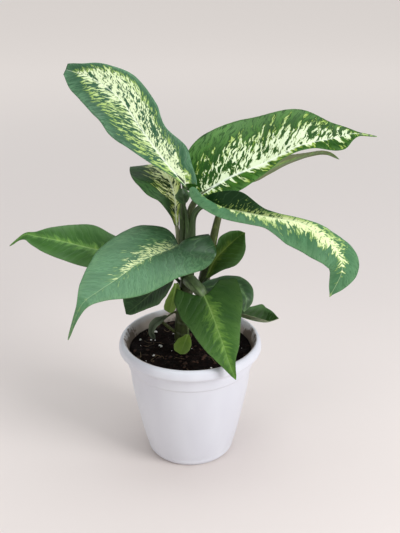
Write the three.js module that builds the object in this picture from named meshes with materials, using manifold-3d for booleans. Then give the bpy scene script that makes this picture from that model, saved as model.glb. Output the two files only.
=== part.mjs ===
// A potted dieffenbachia: a leafy house plant in a round plastic nursery pot.
// Millimetres, +Z up, the pot's axis on X = Y = 0 and its base on Z = 0.
import * as THREE from "three";
import { mergeVertices } from "three/addons/utils/BufferGeometryUtils.js";
import Module from "manifold-3d";

const wasm = await Module();
wasm.setup();

// Pot
const POT_HEIGHT = 132;
const POT_WALL = 2;
const POT_FLOOR = 3;
const ROUND_SEGMENTS = 36;
const BASE_RADIUS = 45.5;
const BASE_ROUNDING = 4;
const COLLAR_BOTTOM_Z = 104;
const COLLAR_RADIUS = 66.3;
const RIM_BOTTOM_Z = 121;
const RIM_RADIUS = 75;
const RIM_LIP = 7;
const DRAIN_HOLES = 6;
const DRAIN_RADIUS = 4;
const DRAIN_RING_RADIUS = 28;

// Soil
const SOIL_GAP = 0.3;
const SOIL_EDGE_Z = 119;
const SOIL_CROWN_Z = 123.5;

// Plant
const CUT_GAP = 0.3;
const BLADE_THICKNESS = 1;
const STATIONS = [0, 0.08, 0.2, 0.35, 0.5, 0.65, 0.8, 0.92, 1];
const SWEEP_STATIONS = [0, 0.08, 0.2, 0.45, 1];
const NO_LIFT = [0, 0, 0];
const STALK_ENTRY = 0.1;
const RIGHT_SIDE_PHASE = 2;
const WIDTH_FOR_FULL_WAVE = 30;

const COLOURS = {
  pot: 0xe4e5ec,
  soil: 0x1c110c,
  stem: 0x4d5a24,
  deepLeaf: 0x2f6b33,
  freshLeaf: 0x7fa03c,
  dryLeaf: 0x6f7c62,
};

// Two stems rise from the soil. Each is a bent, tapering cane: points from the root end up, and the radii there.
const MAIN_STEM = {
  path: [[-9, 12, 92], [-9, 12, 126], [-8, 11, 152], [-4, 9, 182], [-2, 8, 214], [-3, 8, 234]],
  radii: [7, 8, 7.6, 7.3, 7, 6],
};
const SIDE_STEM = {
  path: [[8, 28, 98], [9, 28, 126], [12, 28, 156], [15, 26, 188], [18, 24, 206]],
  radii: [5.4, 6.6, 6.8, 6.6, 5.4],
};

// Each leaf grows as one piece: a stalk that runs into the midrib, and a blade on both sides of it.
// stalk: points from the stem to the blade; rib: points from the blade's base to its tip.
// face: directions that the upper side looks in, from base to tip.
// left and right: half widths at STATIONS; sweep: how far the lobes reach back, at SWEEP_STATIONS;
// lift: how far they curl up, at the same places.
// fold: degrees that each half is raised by, from base to tip; cup: extra rise at the margin.
const LEAVES = [
  {
    name: "leaf_mid_left",
    colour: COLOURS.deepLeaf,
    stalk: [[-8, 9, 222], [-11, 9, 234], [-12, 9, 245], [-13, 9, 253]],
    stalkRadii: [3.4, 2],
    rib: [[-13, 9, 253], [-14, 9, 267], [-15, 12, 284], [-21, 20, 299], [-29, 36, 305], [-37, 58, 302], [-47, 84, 291]],
    face: [[0.1, -0.95, 0.2], [0.15, -0.85, 0.5], [0.1, -0.5, 0.85], [-0.1, 0.3, 0.95]],
    left: [2, 5, 15, 29, 34, 29, 17, 8, 1],
    right: [2, 3, 6, 10, 15, 17, 14, 7, 1],
    sweepLeft: [0, 0, 0],
    sweepRight: [0, 0, 0],
    foldLeft: [20, 15, 10, 6, 4],
    foldRight: [25, 20, 15, 8, 4],
    cup: -0.06,
    wave: 1.2,
    waves: 2,
  },
  {
    name: "leaf_upper_left",
    colour: COLOURS.deepLeaf,
    stalk: [[-6, 8, 226], [-6, 7, 246], [-7, 4, 272], [-4, 1, 299]],
    stalkRadii: [5.2, 2.8],
    rib: [[-4, 1, 299], [-25, 10, 321], [-47, 21, 349], [-67, 32, 375], [-92, 41, 392], [-120, 46, 401]],
    face: [[0.5, -0.75, 0.4], [0.35, -0.8, 0.5], [0.25, -0.8, 0.5]],
    left: [2, 5, 13, 23, 33, 32, 27, 20, 7],
    right: [8, 17, 27, 21, 27, 28, 20, 10, 7],
    sweepLeft: [3, 2, 1],
    sweepRight: [8, 6, 3],
    foldLeft: [14, 10, 8, 6, 4],
    foldRight: [22, 18, 12, 10, 20],
    cup: -0.06,
    wave: 1.5,
    waves: 2.2,
  },
  {
    name: "leaf_upper_right",
    colour: COLOURS.deepLeaf,
    stalk: [[-1, 12, 226], [-1, 12, 246], [1, 9, 269], [9, 5, 286]],
    stalkRadii: [5.2, 3.2],
    rib: [[9, 5, 286], [40, 11, 303], [74, 16, 316], [107, 20, 332], [141, 23, 339], [160, 24, 343], [183, 25, 340]],
    face: [[-0.2, -0.75, 0.6], [-0.15, -0.7, 0.7], [0, -0.6, 0.8]],
    left: [14, 40, 54, 57, 50, 40, 18, 2, 1],
    right: [6, 11, 16, 11, 5, 6, 14, 2, 1],
    sweepLeft: [11, 10, 6],
    sweepRight: [4, 3, 1],
    foldLeft: [10, 8, 4, 2, 0],
    foldRight: [5, 0, 0, 0, 0],
    cup: -0.12,
    wave: 2,
    waves: 2,
  },
  {
    name: "leaf_drooping_right",
    colour: COLOURS.deepLeaf,
    stalk: [[1, 3, 224], [2, 1, 245], [4, -2, 267], [13, -6, 281]],
    stalkRadii: [4.6, 3],
    rib: [
      [13, -6, 281], [34, -16, 280], [58, -27, 279], [81, -37, 278], [103, -46, 277],
      [123, -55, 268], [138, -61, 251], [142, -64, 235], [132, -66, 210],
    ],
    face: [[0.1, -0.45, 0.9], [0, -0.55, 0.9], [0, -0.7, 0.7], [0.3, -0.8, 0.5]],
    left: [3, 14, 20, 7, 4, 11, 24, 12, 1],
    right: [10, 12, 14, 13, 25, 24, 15, 8, 1],
    sweepLeft: [4, 3, 1],
    sweepRight: [7, 17, 9],
    liftRight: [34, 17, 3],
    foldLeft: [50, 58, 25, -30, -12],
    foldRight: [24, 0, -4, 0, 5],
    cup: -0.05,
    wave: 1.2,
    waves: 2.5,
  },
  {
    name: "leaf_behind_right",
    colour: COLOURS.deepLeaf,
    stalk: [[17, 24, 202], [22, 28, 222], [26, 32, 240], [30, 34, 256], [33, 36, 271]],
    stalkRadii: [5.4, 3.8],
    rib: [[33, 36, 271], [49, 39, 284], [69, 43, 295], [97, 48, 307], [124, 52, 315], [140, 54, 315], [153, 56, 308]],
    face: [[-0.1, 0.5, 0.85], [0, 0.5, 0.85]],
    left: [4, 14, 22, 26, 25, 19, 9, 3, 1],
    right: [4, 14, 22, 26, 25, 19, 9, 3, 1],
    sweepLeft: [6, 4, 2],
    sweepRight: [6, 4, 2],
    foldLeft: [12, 10, 8, 6, 4],
    foldRight: [12, 10, 8, 6, 4],
    cup: -0.1,
    wave: 1.5,
    waves: 2,
  },
  {
    name: "leaf_front_left",
    colour: COLOURS.deepLeaf,
    stalk: [[-6, 7, 194], [-10, -2, 216], [-10, -9, 230], [-10, -14, 239]],
    stalkRadii: [3.4, 2.2],
    rib: [
      [-10, -14, 239], [-29, -19, 235], [-48, -30, 230], [-68, -48, 221], [-85, -64, 215],
      [-97, -76, 210], [-104, -81, 199], [-113, -86, 175],
    ],
    face: [[-0.05, -0.25, 0.95], [-0.1, -0.4, 0.9], [-0.3, -0.55, 0.8]],
    left: [6, 38, 50, 42, 28, 13, 5, 2, 1],
    right: [17, 36, 48, 46, 36, 21, 4, 2, 1],
    sweepLeft: [30, 40, 30],
    liftLeft: [15, 10, 5],
    sweepRight: [0, 2, 8],
    foldLeft: [15, 6, 4, 2, 8],
    foldRight: [14, 8, 6, 6, 14],
    cup: -0.1,
    wave: 0.8,
    waves: 1.5,
  },
  {
    name: "leaf_far_left",
    colour: COLOURS.deepLeaf,
    stalk: [[-6, 10, 202], [-20, 12, 208], [-41, 13, 212], [-61, 14, 216]],
    stalkRadii: [3, 2],
    rib: [
      [-61, 14, 216], [-80, 17, 220], [-107, 23, 224], [-134, 28, 229],
      [-158, 32, 232], [-172, 34, 233], [-189, 36, 220],
    ],
    face: [[0.1, -0.7, 0.7], [0, -0.7, 0.7], [-0.1, -0.7, 0.7]],
    left: [10, 17, 20, 21, 20, 16, 8, 2, 1],
    right: [8, 16, 20, 25, 21, 13, 3, 1, 1],
    sweepLeft: [8, 6, 3],
    sweepRight: [8, 6, 3],
    foldLeft: [6, 5, 4, 4, 4],
    foldRight: [10, 8, 5, 5, 5],
    cup: -0.08,
    wave: 1.5,
    waves: 2.5,
  },
  {
    name: "leaf_front_hanging",
    colour: COLOURS.deepLeaf,
    stalk: [[-2, 6, 196], [3, -8, 197], [11, -20, 193], [17, -26, 187]],
    stalkRadii: [7.4, 6.2],
    rib: [[17, -26, 187], [22, -36, 178], [28, -50, 166], [34, -62, 153], [38, -70, 143], [45, -78, 127]],
    face: [[0.1, -0.75, 0.65], [0.1, -0.8, 0.6], [0.1, -0.85, 0.5]],
    left: [20, 37, 35, 27, 21, 15, 7, 3, 1],
    right: [23, 31, 31, 26, 22, 17, 9, 4, 1],
    sweepLeft: [10, 10, 5],
    sweepRight: [16, 10, 4],
    foldLeft: [6, 6, 6, 8, 10],
    foldRight: [6, 6, 6, 8, 10],
    cup: -0.08,
    wave: 0.8,
    waves: 1.5,
  },
  {
    name: "leaf_right_upright",
    colour: COLOURS.deepLeaf,
    small: true,
    stalk: [[14, 25, 174], [14, 18, 184], [18, 14, 194]],
    stalkRadii: [2.4, 1.6],
    rib: [[18, 14, 194], [26, 20, 211], [38, 27, 222], [50, 31, 232], [57, 33, 236]],
    face: [[-0.1, -0.8, 0.5], [-0.1, -0.75, 0.6], [0, -0.7, 0.7]],
    left: [1, 2, 3, 5, 9, 13, 11, 6, 1],
    right: [1, 5, 12, 19, 22, 21, 17, 9, 1],
    sweepLeft: [1, 1, 0],
    sweepRight: [1, 1, 0],
    foldLeft: [15, 15, 12, 10, 8],
    foldRight: [15, 15, 12, 10, 8],
    cup: -0.05,
    wave: 0.5,
    waves: 2,
  },
  {
    name: "leaf_right_curled",
    colour: COLOURS.deepLeaf,
    small: true,
    stalk: [[11, 26, 164], [11, 12, 178], [14, 2, 187]],
    stalkRadii: [2.4, 1.6],
    rib: [[14, 2, 187], [33, 1, 191], [49, -4, 190], [57, -11, 182], [55, -16, 169]],
    face: [[0, -0.3, 1], [0.2, -0.3, 0.9], [0.6, -0.5, 0.6]],
    left: [6, 9, 10, 15, 16, 14, 9, 5, 1],
    right: [2, 8, 14, 18, 19, 17, 12, 7, 1],
    sweepLeft: [2, 1, 1],
    sweepRight: [2, 1, 1],
    foldLeft: [15, 12, 10, 8, 5],
    foldRight: [15, 12, 10, 8, 5],
    cup: -0.1,
    wave: 1,
    waves: 2,
  },
  {
    name: "leaf_right_low",
    colour: COLOURS.deepLeaf,
    small: true,
    stalk: [[11, 27, 143], [25, 22, 151], [44, 18, 151]],
    stalkRadii: [2, 1.3],
    rib: [[44, 18, 151], [59, 20, 144], [72, 22, 139], [83, 24, 137], [95, 26, 140]],
    face: [[0, -0.1, 1], [0.1, -0.1, 1]],
    left: [4, 8, 10, 13, 17, 19, 17, 11, 1],
    right: [3, 7, 10, 12, 12, 10, 7, 4, 1],
    sweepLeft: [0, 0, 0],
    sweepRight: [0, 0, 0],
    foldLeft: [50, 48, 45, 40, 30],
    foldRight: [45, 45, 45, 40, 30],
    cup: 0,
    wave: 0.3,
    waves: 2,
  },
  {
    name: "leaf_left_low",
    colour: COLOURS.deepLeaf,
    small: true,
    stalk: [[-6, 11, 181], [-12, 12, 191], [-19, 12, 196]],
    stalkRadii: [2.2, 1.6],
    rib: [[-19, 12, 196], [-36, 20, 178], [-53, 26, 159], [-69, 28, 144]],
    face: [[-0.2, -0.5, 0.8], [-0.1, -0.6, 0.8]],
    left: [6, 14, 19, 19, 16, 12, 8, 5, 1],
    right: [4, 12, 20, 27, 31, 31, 28, 20, 4],
    sweepLeft: [3, 2, 1],
    sweepRight: [3, 2, 1],
    foldLeft: [8, 8, 7, 6, 6],
    foldRight: [8, 8, 7, 6, 6],
    cup: -0.1,
    wave: 1,
    waves: 2,
  },
  {
    name: "young_leaf_yellow_green",
    colour: COLOURS.freshLeaf,
    small: true,
    stalk: [[-8, 8, 176], [-12, -1, 190], [-13, -6, 196]],
    stalkRadii: [2, 1.6],
    rib: [[-13, -6, 196], [-17, -11, 182], [-21, -14, 167]],
    face: [[-0.2, -0.9, 0.3], [-0.2, -0.9, 0.3]],
    left: [3, 4, 6, 7, 8, 7, 6, 4, 1],
    right: [3, 3, 4, 5, 6, 7, 7, 6, 1],
    sweepLeft: [0, 0, 0],
    sweepRight: [0, 0, 0],
    foldLeft: [25, 23, 22, 21, 20],
    foldRight: [25, 23, 22, 21, 20],
    cup: 0,
    wave: 0,
    waves: 1,
  },
  {
    name: "young_leaf_round",
    colour: COLOURS.freshLeaf,
    small: true,
    stalk: [[-7, 10, 146], [-3, 0, 149], [-2, -8, 139]],
    stalkRadii: [1.8, 1.3],
    rib: [[-2, -8, 139], [-6, -16, 132], [-10, -23, 124]],
    face: [[-0.2, -0.7, 0.7], [-0.2, -0.8, 0.6]],
    left: [1, 3, 5, 7, 8, 8, 7, 5, 1],
    right: [1, 3, 5, 8, 9, 10, 9, 7, 1],
    sweepLeft: [0, 0, 0],
    sweepRight: [0, 0, 0],
    foldLeft: [10, 10, 10, 10, 10],
    foldRight: [10, 10, 10, 10, 10],
    cup: -0.1,
    wave: 0,
    waves: 1,
  },
  {
    name: "withered_leaf",
    colour: COLOURS.dryLeaf,
    small: true,
    stalk: [[-9, 11, 149], [-16, 9, 156], [-24, 6, 153]],
    stalkRadii: [1.6, 1.2],
    rib: [[-24, 6, 153], [-36, 2, 146], [-40, 0, 137], [-37, -1, 130]],
    face: [[-0.3, -0.7, 0.7], [-0.2, -0.8, 0.6]],
    left: [1, 3, 5, 7, 7, 6, 5, 3, 1],
    right: [1, 3, 4, 6, 6, 5, 4, 3, 1],
    sweepLeft: [0, 0, 0],
    sweepRight: [0, 0, 0],
    foldLeft: [40, 42, 45, 48, 50],
    foldRight: [40, 42, 45, 48, 50],
    cup: -0.1,
    wave: 0.6,
    waves: 2,
  },
  {
    name: "new_leaf_unrolling",
    colour: COLOURS.deepLeaf,
    small: true,
    stalk: [[-3, 3, 228], [-2, 0, 250], [-3, -4, 270], [-5, -8, 282]],
    stalkRadii: [3.4, 2.4],
    rib: [[-5, -8, 282], [-6, -9, 290], [-7, -6, 297]],
    face: [[0.1, -1, 0.2], [0, -0.8, 0.6]],
    left: [3, 5, 7, 8, 8, 8, 6, 4, 2],
    right: [3, 5, 7, 8, 8, 8, 6, 4, 2],
    sweepLeft: [0, 0, 0],
    sweepRight: [0, 0, 0],
    foldLeft: [-25, -25, -25, -25, -25],
    foldRight: [-25, -25, -25, -25, -25],
    cup: -0.3,
    wave: 0,
    waves: 1,
  },
];

// The stub that was left where an old leaf was cut off, low on the main stem.
const OLD_STUB = {
  path: [[-12, 11, 129], [-21, 9, 137], [-30, 7, 146]],
  radii: [1.9, 1.6],
};

function vector(point) {
  return new THREE.Vector3(point[0], point[1], point[2]);
}

function curveThrough(points) {
  return new THREE.CatmullRomCurve3(points.map(vector), false, "catmullrom", 0.5);
}

// A list's value at share u of its length, with straight steps between the entries.
function along(list, u) {
  const place = THREE.MathUtils.clamp(u, 0, 1) * (list.length - 1);
  const index = Math.min(Math.floor(place), list.length - 2);
  return THREE.MathUtils.lerp(list[index], list[index + 1], place - index);
}

// A smooth value at x through the pairs of places and values, without overshoot.
function smoothAt(x, places, values) {
  const slopes = [];
  for (let i = 0; i < places.length - 1; i += 1) {
    slopes.push((values[i + 1] - values[i]) / (places[i + 1] - places[i]));
  }
  const turns = [slopes[0] * 1.5];
  for (let i = 1; i < slopes.length; i += 1) {
    const product = slopes[i - 1] * slopes[i];
    turns.push(product > 0 ? (2 * product) / (slopes[i - 1] + slopes[i]) : 0);
  }
  turns.push(slopes[slopes.length - 1]);
  let k = 0;
  while (k < places.length - 2 && x > places[k + 1]) {
    k += 1;
  }
  const span = places[k + 1] - places[k];
  const t = (x - places[k]) / span;
  const start = values[k] * (1 + 2 * t) * (1 - t) ** 2 + span * turns[k] * t * (1 - t) ** 2;
  const end = values[k + 1] * t * t * (3 - 2 * t) + span * turns[k + 1] * t * t * (t - 1);
  return start + end;
}

function solidFrom(geometry) {
  const bare = geometry.clone();
  bare.deleteAttribute("normal");
  bare.deleteAttribute("uv");
  const merged = mergeVertices(bare, 1e-4);
  return new wasm.Manifold(
    new wasm.Mesh({
      numProp: 3,
      vertProperties: merged.attributes.position.array,
      triVerts: new Uint32Array(merged.index.array),
    }),
  );
}

function geometryFrom(mesh) {
  const geometry = new THREE.BufferGeometry();
  geometry.setAttribute("position", new THREE.Float32BufferAttribute(mesh.vertProperties, 3));
  geometry.setIndex(Array.from(mesh.triVerts));
  return geometry;
}

// The triangles of the largest connected piece of a solid, as a geometry.
function largestPiece(solid) {
  const mesh = solid.getMesh();
  const owner = Array.from({ length: mesh.vertProperties.length / 3 }, (_, i) => i);
  const rootOf = (i) => {
    let root = i;
    while (owner[root] !== root) {
      root = owner[root];
    }
    owner[i] = root;
    return root;
  };
  for (let i = 0; i < mesh.triVerts.length; i += 3) {
    owner[rootOf(mesh.triVerts[i + 1])] = rootOf(mesh.triVerts[i]);
    owner[rootOf(mesh.triVerts[i + 2])] = rootOf(mesh.triVerts[i]);
  }
  const groups = new Map();
  for (let i = 0; i < mesh.triVerts.length; i += 3) {
    const root = rootOf(mesh.triVerts[i]);
    if (!groups.has(root)) {
      groups.set(root, []);
    }
    groups.get(root).push(mesh.triVerts[i], mesh.triVerts[i + 1], mesh.triVerts[i + 2]);
  }
  const longest = [...groups.values()].sort((a, b) => b.length - a.length)[0];
  return geometryFrom({ vertProperties: mesh.vertProperties, triVerts: longest });
}

// A round cane bent along points, with radii spread along it, closed at both ends.
function cane(points, radii, sides, steps) {
  const curve = curveThrough(points);
  const frames = curve.computeFrenetFrames(steps, false);
  const geometry = new THREE.CylinderGeometry(1, 1, 1, sides, steps);
  const place = geometry.attributes.position;
  for (let i = 0; i < place.count; i += 1) {
    const u = place.getY(i) + 0.5;
    const step = Math.round(u * steps);
    const radius = along(radii, u);
    const point = curve.getPointAt(u);
    point.addScaledVector(frames.normals[step], place.getX(i) * radius);
    point.addScaledVector(frames.binormals[step], -place.getZ(i) * radius);
    place.setXYZ(i, point.x, point.y, point.z);
  }
  return facingOut(geometry);
}

// The geometry with its faces turned round if they look inwards.
function facingOut(geometry) {
  const place = geometry.attributes.position;
  const index = geometry.index;
  const corner = (i) => new THREE.Vector3().fromBufferAttribute(place, index.getX(i));
  let volume = 0;
  for (let i = 0; i < index.count; i += 3) {
    volume += corner(i).dot(corner(i + 1).cross(corner(i + 2)));
  }
  if (volume < 0) {
    for (let i = 0; i < index.count; i += 3) {
      const kept = index.getX(i + 1);
      index.setX(i + 1, index.getX(i + 2));
      index.setX(i + 2, kept);
    }
  }
  return geometry;
}

// The midrib's point and its three directions at share u of its length.
function ribFrame(leaf, curve, u) {
  const ahead = curve.getTangentAt(u);
  const hint = new THREE.Vector3(
    along(leaf.face.map((direction) => direction[0]), u),
    along(leaf.face.map((direction) => direction[1]), u),
    along(leaf.face.map((direction) => direction[2]), u),
  );
  const up = hint.addScaledVector(ahead, -hint.dot(ahead)).normalize();
  const side = new THREE.Vector3().crossVectors(ahead, up);
  return { point: curve.getPointAt(u), ahead, up, side };
}

// A point of the blade: u runs from base to tip, v from the left margin at -1 to the right at 1.
function bladePoint(leaf, curve, u, v, height) {
  const frame = ribFrame(leaf, curve, u);
  const reach = Math.abs(v);
  const width = smoothAt(u, STATIONS, v < 0 ? leaf.left : leaf.right);
  const sweep = smoothAt(u, SWEEP_STATIONS, [...(v < 0 ? leaf.sweepLeft : leaf.sweepRight), 0, 0]);
  const lift = smoothAt(u, SWEEP_STATIONS, [...((v < 0 ? leaf.liftLeft : leaf.liftRight) ?? NO_LIFT), 0, 0]);
  const fold = THREE.MathUtils.degToRad(along(v < 0 ? leaf.foldLeft : leaf.foldRight, u));
  const fullness = Math.sqrt(THREE.MathUtils.clamp(width / WIDTH_FOR_FULL_WAVE, 0, 1));
  const turn = 2 * Math.PI * leaf.waves * u + (v > 0 ? RIGHT_SIDE_PHASE : 0);
  const ripple = leaf.wave * reach ** 2 * Math.sin(turn) * fullness;
  const rise = width * (Math.sin(fold) * reach + leaf.cup * reach ** 2) + lift * reach ** 0.8 * (1.6 - reach) + ripple;
  const point = frame.point.clone();
  point.addScaledVector(frame.side, v * width * Math.cos(fold));
  point.addScaledVector(frame.up, rise);
  point.addScaledVector(frame.ahead, -sweep * reach ** 1.5);
  const tilt = v === 0 ? 0 : fold * Math.sign(v);
  point.addScaledVector(frame.up, height * Math.cos(tilt));
  point.addScaledVector(frame.side, -height * Math.sin(tilt));
  return point;
}

function blade(leaf, across, lengthwise) {
  const curve = curveThrough(leaf.rib);
  const geometry = new THREE.BoxGeometry(2, 1, 1, across, lengthwise, 1);
  const place = geometry.attributes.position;
  for (let i = 0; i < place.count; i += 1) {
    const height = place.getZ(i) * BLADE_THICKNESS;
    const point = bladePoint(leaf, curve, place.getY(i) + 0.5, place.getX(i), height);
    place.setXYZ(i, point.x, point.y, point.z);
  }
  return facingOut(geometry);
}

// The stalk meets the blade from below and ends under its midrib.
function stalkPath(leaf) {
  const curve = curveThrough(leaf.rib);
  const entry = ribFrame(leaf, curve, STALK_ENTRY);
  entry.point.addScaledVector(entry.up, -leaf.stalkRadii[1] / 3);
  const base = vector(leaf.stalk[leaf.stalk.length - 1]);
  base.addScaledVector(ribFrame(leaf, curve, 0).up, -leaf.stalkRadii[1] * 0.7);
  return [...leaf.stalk.slice(0, -1), base.toArray(), entry.point.toArray()];
}

// A leaf's stalk, fattened by extra for use as a cutter.
function stalk(leaf, extra) {
  const steps = leaf.small ? 5 : 8;
  const sides = leaf.small ? 6 : 8;
  const tipRadius = leaf.stalkRadii[1] * 0.5;
  const radii = [leaf.stalkRadii[0] + extra, leaf.stalkRadii[1] + extra, tipRadius + extra];
  return cane(stalkPath(leaf), radii, sides, steps);
}

// Every leaf in turn, each cut clear of the stems and of the stalks that came before it.
function leafMeshes(cutters) {
  return LEAVES.map((leaf) => {
    const across = leaf.small ? 4 : 6;
    const lengthwise = leaf.small ? 8 : 12;
    let solid = solidFrom(blade(leaf, across, lengthwise)).add(solidFrom(stalk(leaf, 0)));
    cutters.forEach((cutter) => {
      solid = solid.subtract(cutter);
    });
    cutters.push(solidFrom(stalk(leaf, CUT_GAP)));
    return named(leaf.name, largestPiece(solid), leaf.colour, 0.45);
  });
}

function stemMesh(name, stem) {
  return named(name, cane(stem.path, stem.radii, 12, 12), COLOURS.stem, 0.6);
}

// The points with both ends moved outwards by extra.
function lengthened(points, extra) {
  const moved = points.map(vector);
  const last = moved.length - 1;
  const start = moved[0].clone().sub(moved[1]).setLength(extra);
  const end = moved[last].clone().sub(moved[last - 1]).setLength(extra);
  moved[0].add(start);
  moved[last].add(end);
  return moved.map((point) => point.toArray());
}

// A stem grown by extra on every side, for use as a cutter.
function fattened(stem, extra) {
  const radii = stem.radii.map((radius) => radius + extra);
  return solidFrom(cane(lengthened(stem.path, extra), radii, 12, 12));
}

function stubMesh(cutters) {
  let solid = solidFrom(cane(OLD_STUB.path, OLD_STUB.radii, 8, 4));
  cutters.forEach((cutter) => {
    solid = solid.subtract(cutter);
  });
  return named("old_leaf_stub", largestPiece(solid), COLOURS.stem, 0.7);
}

// The outer wall from the base edge up to the rim, as [radius, height].
function outerWall() {
  return [
    [BASE_RADIUS - BASE_ROUNDING, 0],
    [BASE_RADIUS - 1, 1.2],
    [BASE_RADIUS + 0.6, BASE_ROUNDING],
    [48.9, 15],
    [52, 28],
    [57.2, 54],
    [61.8, 79],
    [64.2, COLLAR_BOTTOM_Z],
    [COLLAR_RADIUS, COLLAR_BOTTOM_Z + 2],
    [COLLAR_RADIUS + 0.5, RIM_BOTTOM_Z],
    [RIM_RADIUS - 1.5, RIM_BOTTOM_Z],
    [RIM_RADIUS, RIM_BOTTOM_Z + 2],
    [RIM_RADIUS - 0.6, POT_HEIGHT - 4],
    [RIM_RADIUS - 3, POT_HEIGHT],
  ];
}

// The inner wall from the rim down to the floor, as [radius, height].
function innerWall() {
  return [
    [RIM_RADIUS - RIM_LIP, POT_HEIGHT],
    [COLLAR_RADIUS - POT_WALL + 0.4, RIM_BOTTOM_Z],
    [COLLAR_RADIUS - POT_WALL - 0.6, COLLAR_BOTTOM_Z + 2],
    [61.8 - POT_WALL, 79],
    [57.2 - POT_WALL, 54],
    [52 - POT_WALL, 28],
    [48.9 - POT_WALL, 15],
    [BASE_RADIUS - POT_WALL, POT_FLOOR],
  ];
}

function lathe(profile) {
  const points = profile.map(([radius, height]) => new THREE.Vector2(radius, height));
  const geometry = new THREE.LatheGeometry(points, ROUND_SEGMENTS);
  geometry.rotateX(Math.PI / 2);
  return geometry;
}

function potMesh() {
  const profile = [[0, 0], ...outerWall(), ...innerWall(), [0, POT_FLOOR]];
  let solid = solidFrom(lathe(profile));
  for (let i = 0; i < DRAIN_HOLES; i += 1) {
    const angle = (2 * Math.PI * i) / DRAIN_HOLES;
    const drill = new THREE.CylinderGeometry(DRAIN_RADIUS, DRAIN_RADIUS, 4 * POT_FLOOR, 12);
    drill.rotateX(Math.PI / 2);
    drill.translate(DRAIN_RING_RADIUS * Math.cos(angle), DRAIN_RING_RADIUS * Math.sin(angle), 0);
    solid = solid.subtract(solidFrom(drill));
  }
  return named("pot", geometryFrom(solid.getMesh()), COLOURS.pot, 0.4);
}

// The potting mix fills the pot to below the rim, with a low crown and a hole for each stem.
function soilMesh(cutters) {
  const sides = innerWall()
    .filter(([, height]) => height < SOIL_EDGE_Z)
    .map(([radius, height]) => [radius - SOIL_GAP, height])
    .reverse();
  sides[0][1] += SOIL_GAP;
  const profile = [
    [0, POT_FLOOR + SOIL_GAP],
    ...sides,
    [COLLAR_RADIUS - POT_WALL - SOIL_GAP - 0.1, SOIL_EDGE_Z],
    [56, SOIL_EDGE_Z + 0.8],
    [38, SOIL_EDGE_Z + 2.2],
    [18, SOIL_CROWN_Z - 0.6],
    [0, SOIL_CROWN_Z],
  ];
  let solid = solidFrom(lathe(profile));
  cutters.forEach((cutter) => {
    solid = solid.subtract(cutter);
  });
  return named("potting_soil", largestPiece(solid), COLOURS.soil, 0.95);
}

function named(name, geometry, colour, roughness) {
  const material = new THREE.MeshStandardMaterial({ color: colour, roughness, metalness: 0 });
  const mesh = new THREE.Mesh(geometry, material);
  mesh.name = name;
  return mesh;
}

function build() {
  const group = new THREE.Group();
  const stems = [fattened(MAIN_STEM, CUT_GAP), fattened(SIDE_STEM, CUT_GAP)];
  group.add(potMesh());
  group.add(soilMesh(stems));
  group.add(stemMesh("main_stem", MAIN_STEM));
  group.add(stemMesh("side_stem", SIDE_STEM));
  group.add(stubMesh(stems));
  group.add(...leafMeshes([...stems]));
  return group;
}

export default build();
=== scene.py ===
"""Looks of a potted dieffenbachia, built round its CAD frame: metres, +Z up, the pot's base on Z = 0."""

import logging
import math
import random
from dataclasses import dataclass, field
from enum import Enum
from typing import Any, Callable, Iterable, Sequence

import bmesh
import bpy
from mathutils import Matrix, Vector, noise


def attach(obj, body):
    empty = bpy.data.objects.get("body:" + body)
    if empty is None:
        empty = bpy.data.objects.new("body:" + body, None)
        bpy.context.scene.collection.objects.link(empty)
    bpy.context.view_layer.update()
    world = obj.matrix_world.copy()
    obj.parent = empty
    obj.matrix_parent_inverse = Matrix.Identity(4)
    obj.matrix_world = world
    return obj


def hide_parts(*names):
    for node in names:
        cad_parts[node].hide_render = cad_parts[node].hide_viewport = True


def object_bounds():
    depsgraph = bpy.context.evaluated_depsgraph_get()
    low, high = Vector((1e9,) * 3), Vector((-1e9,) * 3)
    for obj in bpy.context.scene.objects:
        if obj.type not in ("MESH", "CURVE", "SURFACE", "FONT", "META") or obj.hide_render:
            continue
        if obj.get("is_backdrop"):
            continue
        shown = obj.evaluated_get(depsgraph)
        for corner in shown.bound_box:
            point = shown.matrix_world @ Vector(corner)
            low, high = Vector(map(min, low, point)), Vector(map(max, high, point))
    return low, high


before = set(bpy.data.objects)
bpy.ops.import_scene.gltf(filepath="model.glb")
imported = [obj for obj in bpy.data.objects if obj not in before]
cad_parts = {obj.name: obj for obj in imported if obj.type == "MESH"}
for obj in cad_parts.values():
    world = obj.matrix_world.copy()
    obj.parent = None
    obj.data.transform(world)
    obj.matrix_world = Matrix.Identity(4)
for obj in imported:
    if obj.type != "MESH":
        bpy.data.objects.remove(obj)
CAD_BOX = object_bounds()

LOG = logging.getLogger("dieffenbachia")
MM = 0.001
CM_PER_MM = 0.1
WELD = 1e-7
Colour = tuple[float, float, float]
Point = tuple[float, float, float]

STATIONS = (0, 0.08, 0.2, 0.35, 0.5, 0.65, 0.8, 0.92, 1)
SWEEP_STATIONS = (0, 0.08, 0.2, 0.45, 1)
QUARTERS = (0, 0.25, 0.5, 0.75, 1)

# The stalk runs on under the blade: shares of the midrib, and depths as shares of the stalk's radius.
STALK_SINK = 0.85
KEEL_RUN = ((0.1, 0.62), (0.22, 0.42))

# The blade's mesh is denser next to the midrib by this power.
CROWDING = 1.35
NEAR_MIDRIB = 1e-4

# Heights and widths of the blade's small shapes, in millimetres.
GROOVE_DEPTH = 0.4
GROOVE_WIDTH = 0.9
KEEL_WIDTH = 1.5
CRIMP_HEIGHT = 0.9
CRIMPS = 9
RIGHT_SIDE_PHASE = 2.0
WIDTH_FOR_FULL_WAVE = 30.0


# ---------------------------------------------------------------- numbers


def clamp(value: float, low: float = 0.0, high: float = 1.0) -> float:
    """Value held between low and high."""
    return min(max(value, low), high)


def bell(distance: float, width: float) -> float:
    """A smooth bump that is 1 at distance 0 and fades over width."""
    return math.exp(-((distance / width) ** 2))


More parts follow.
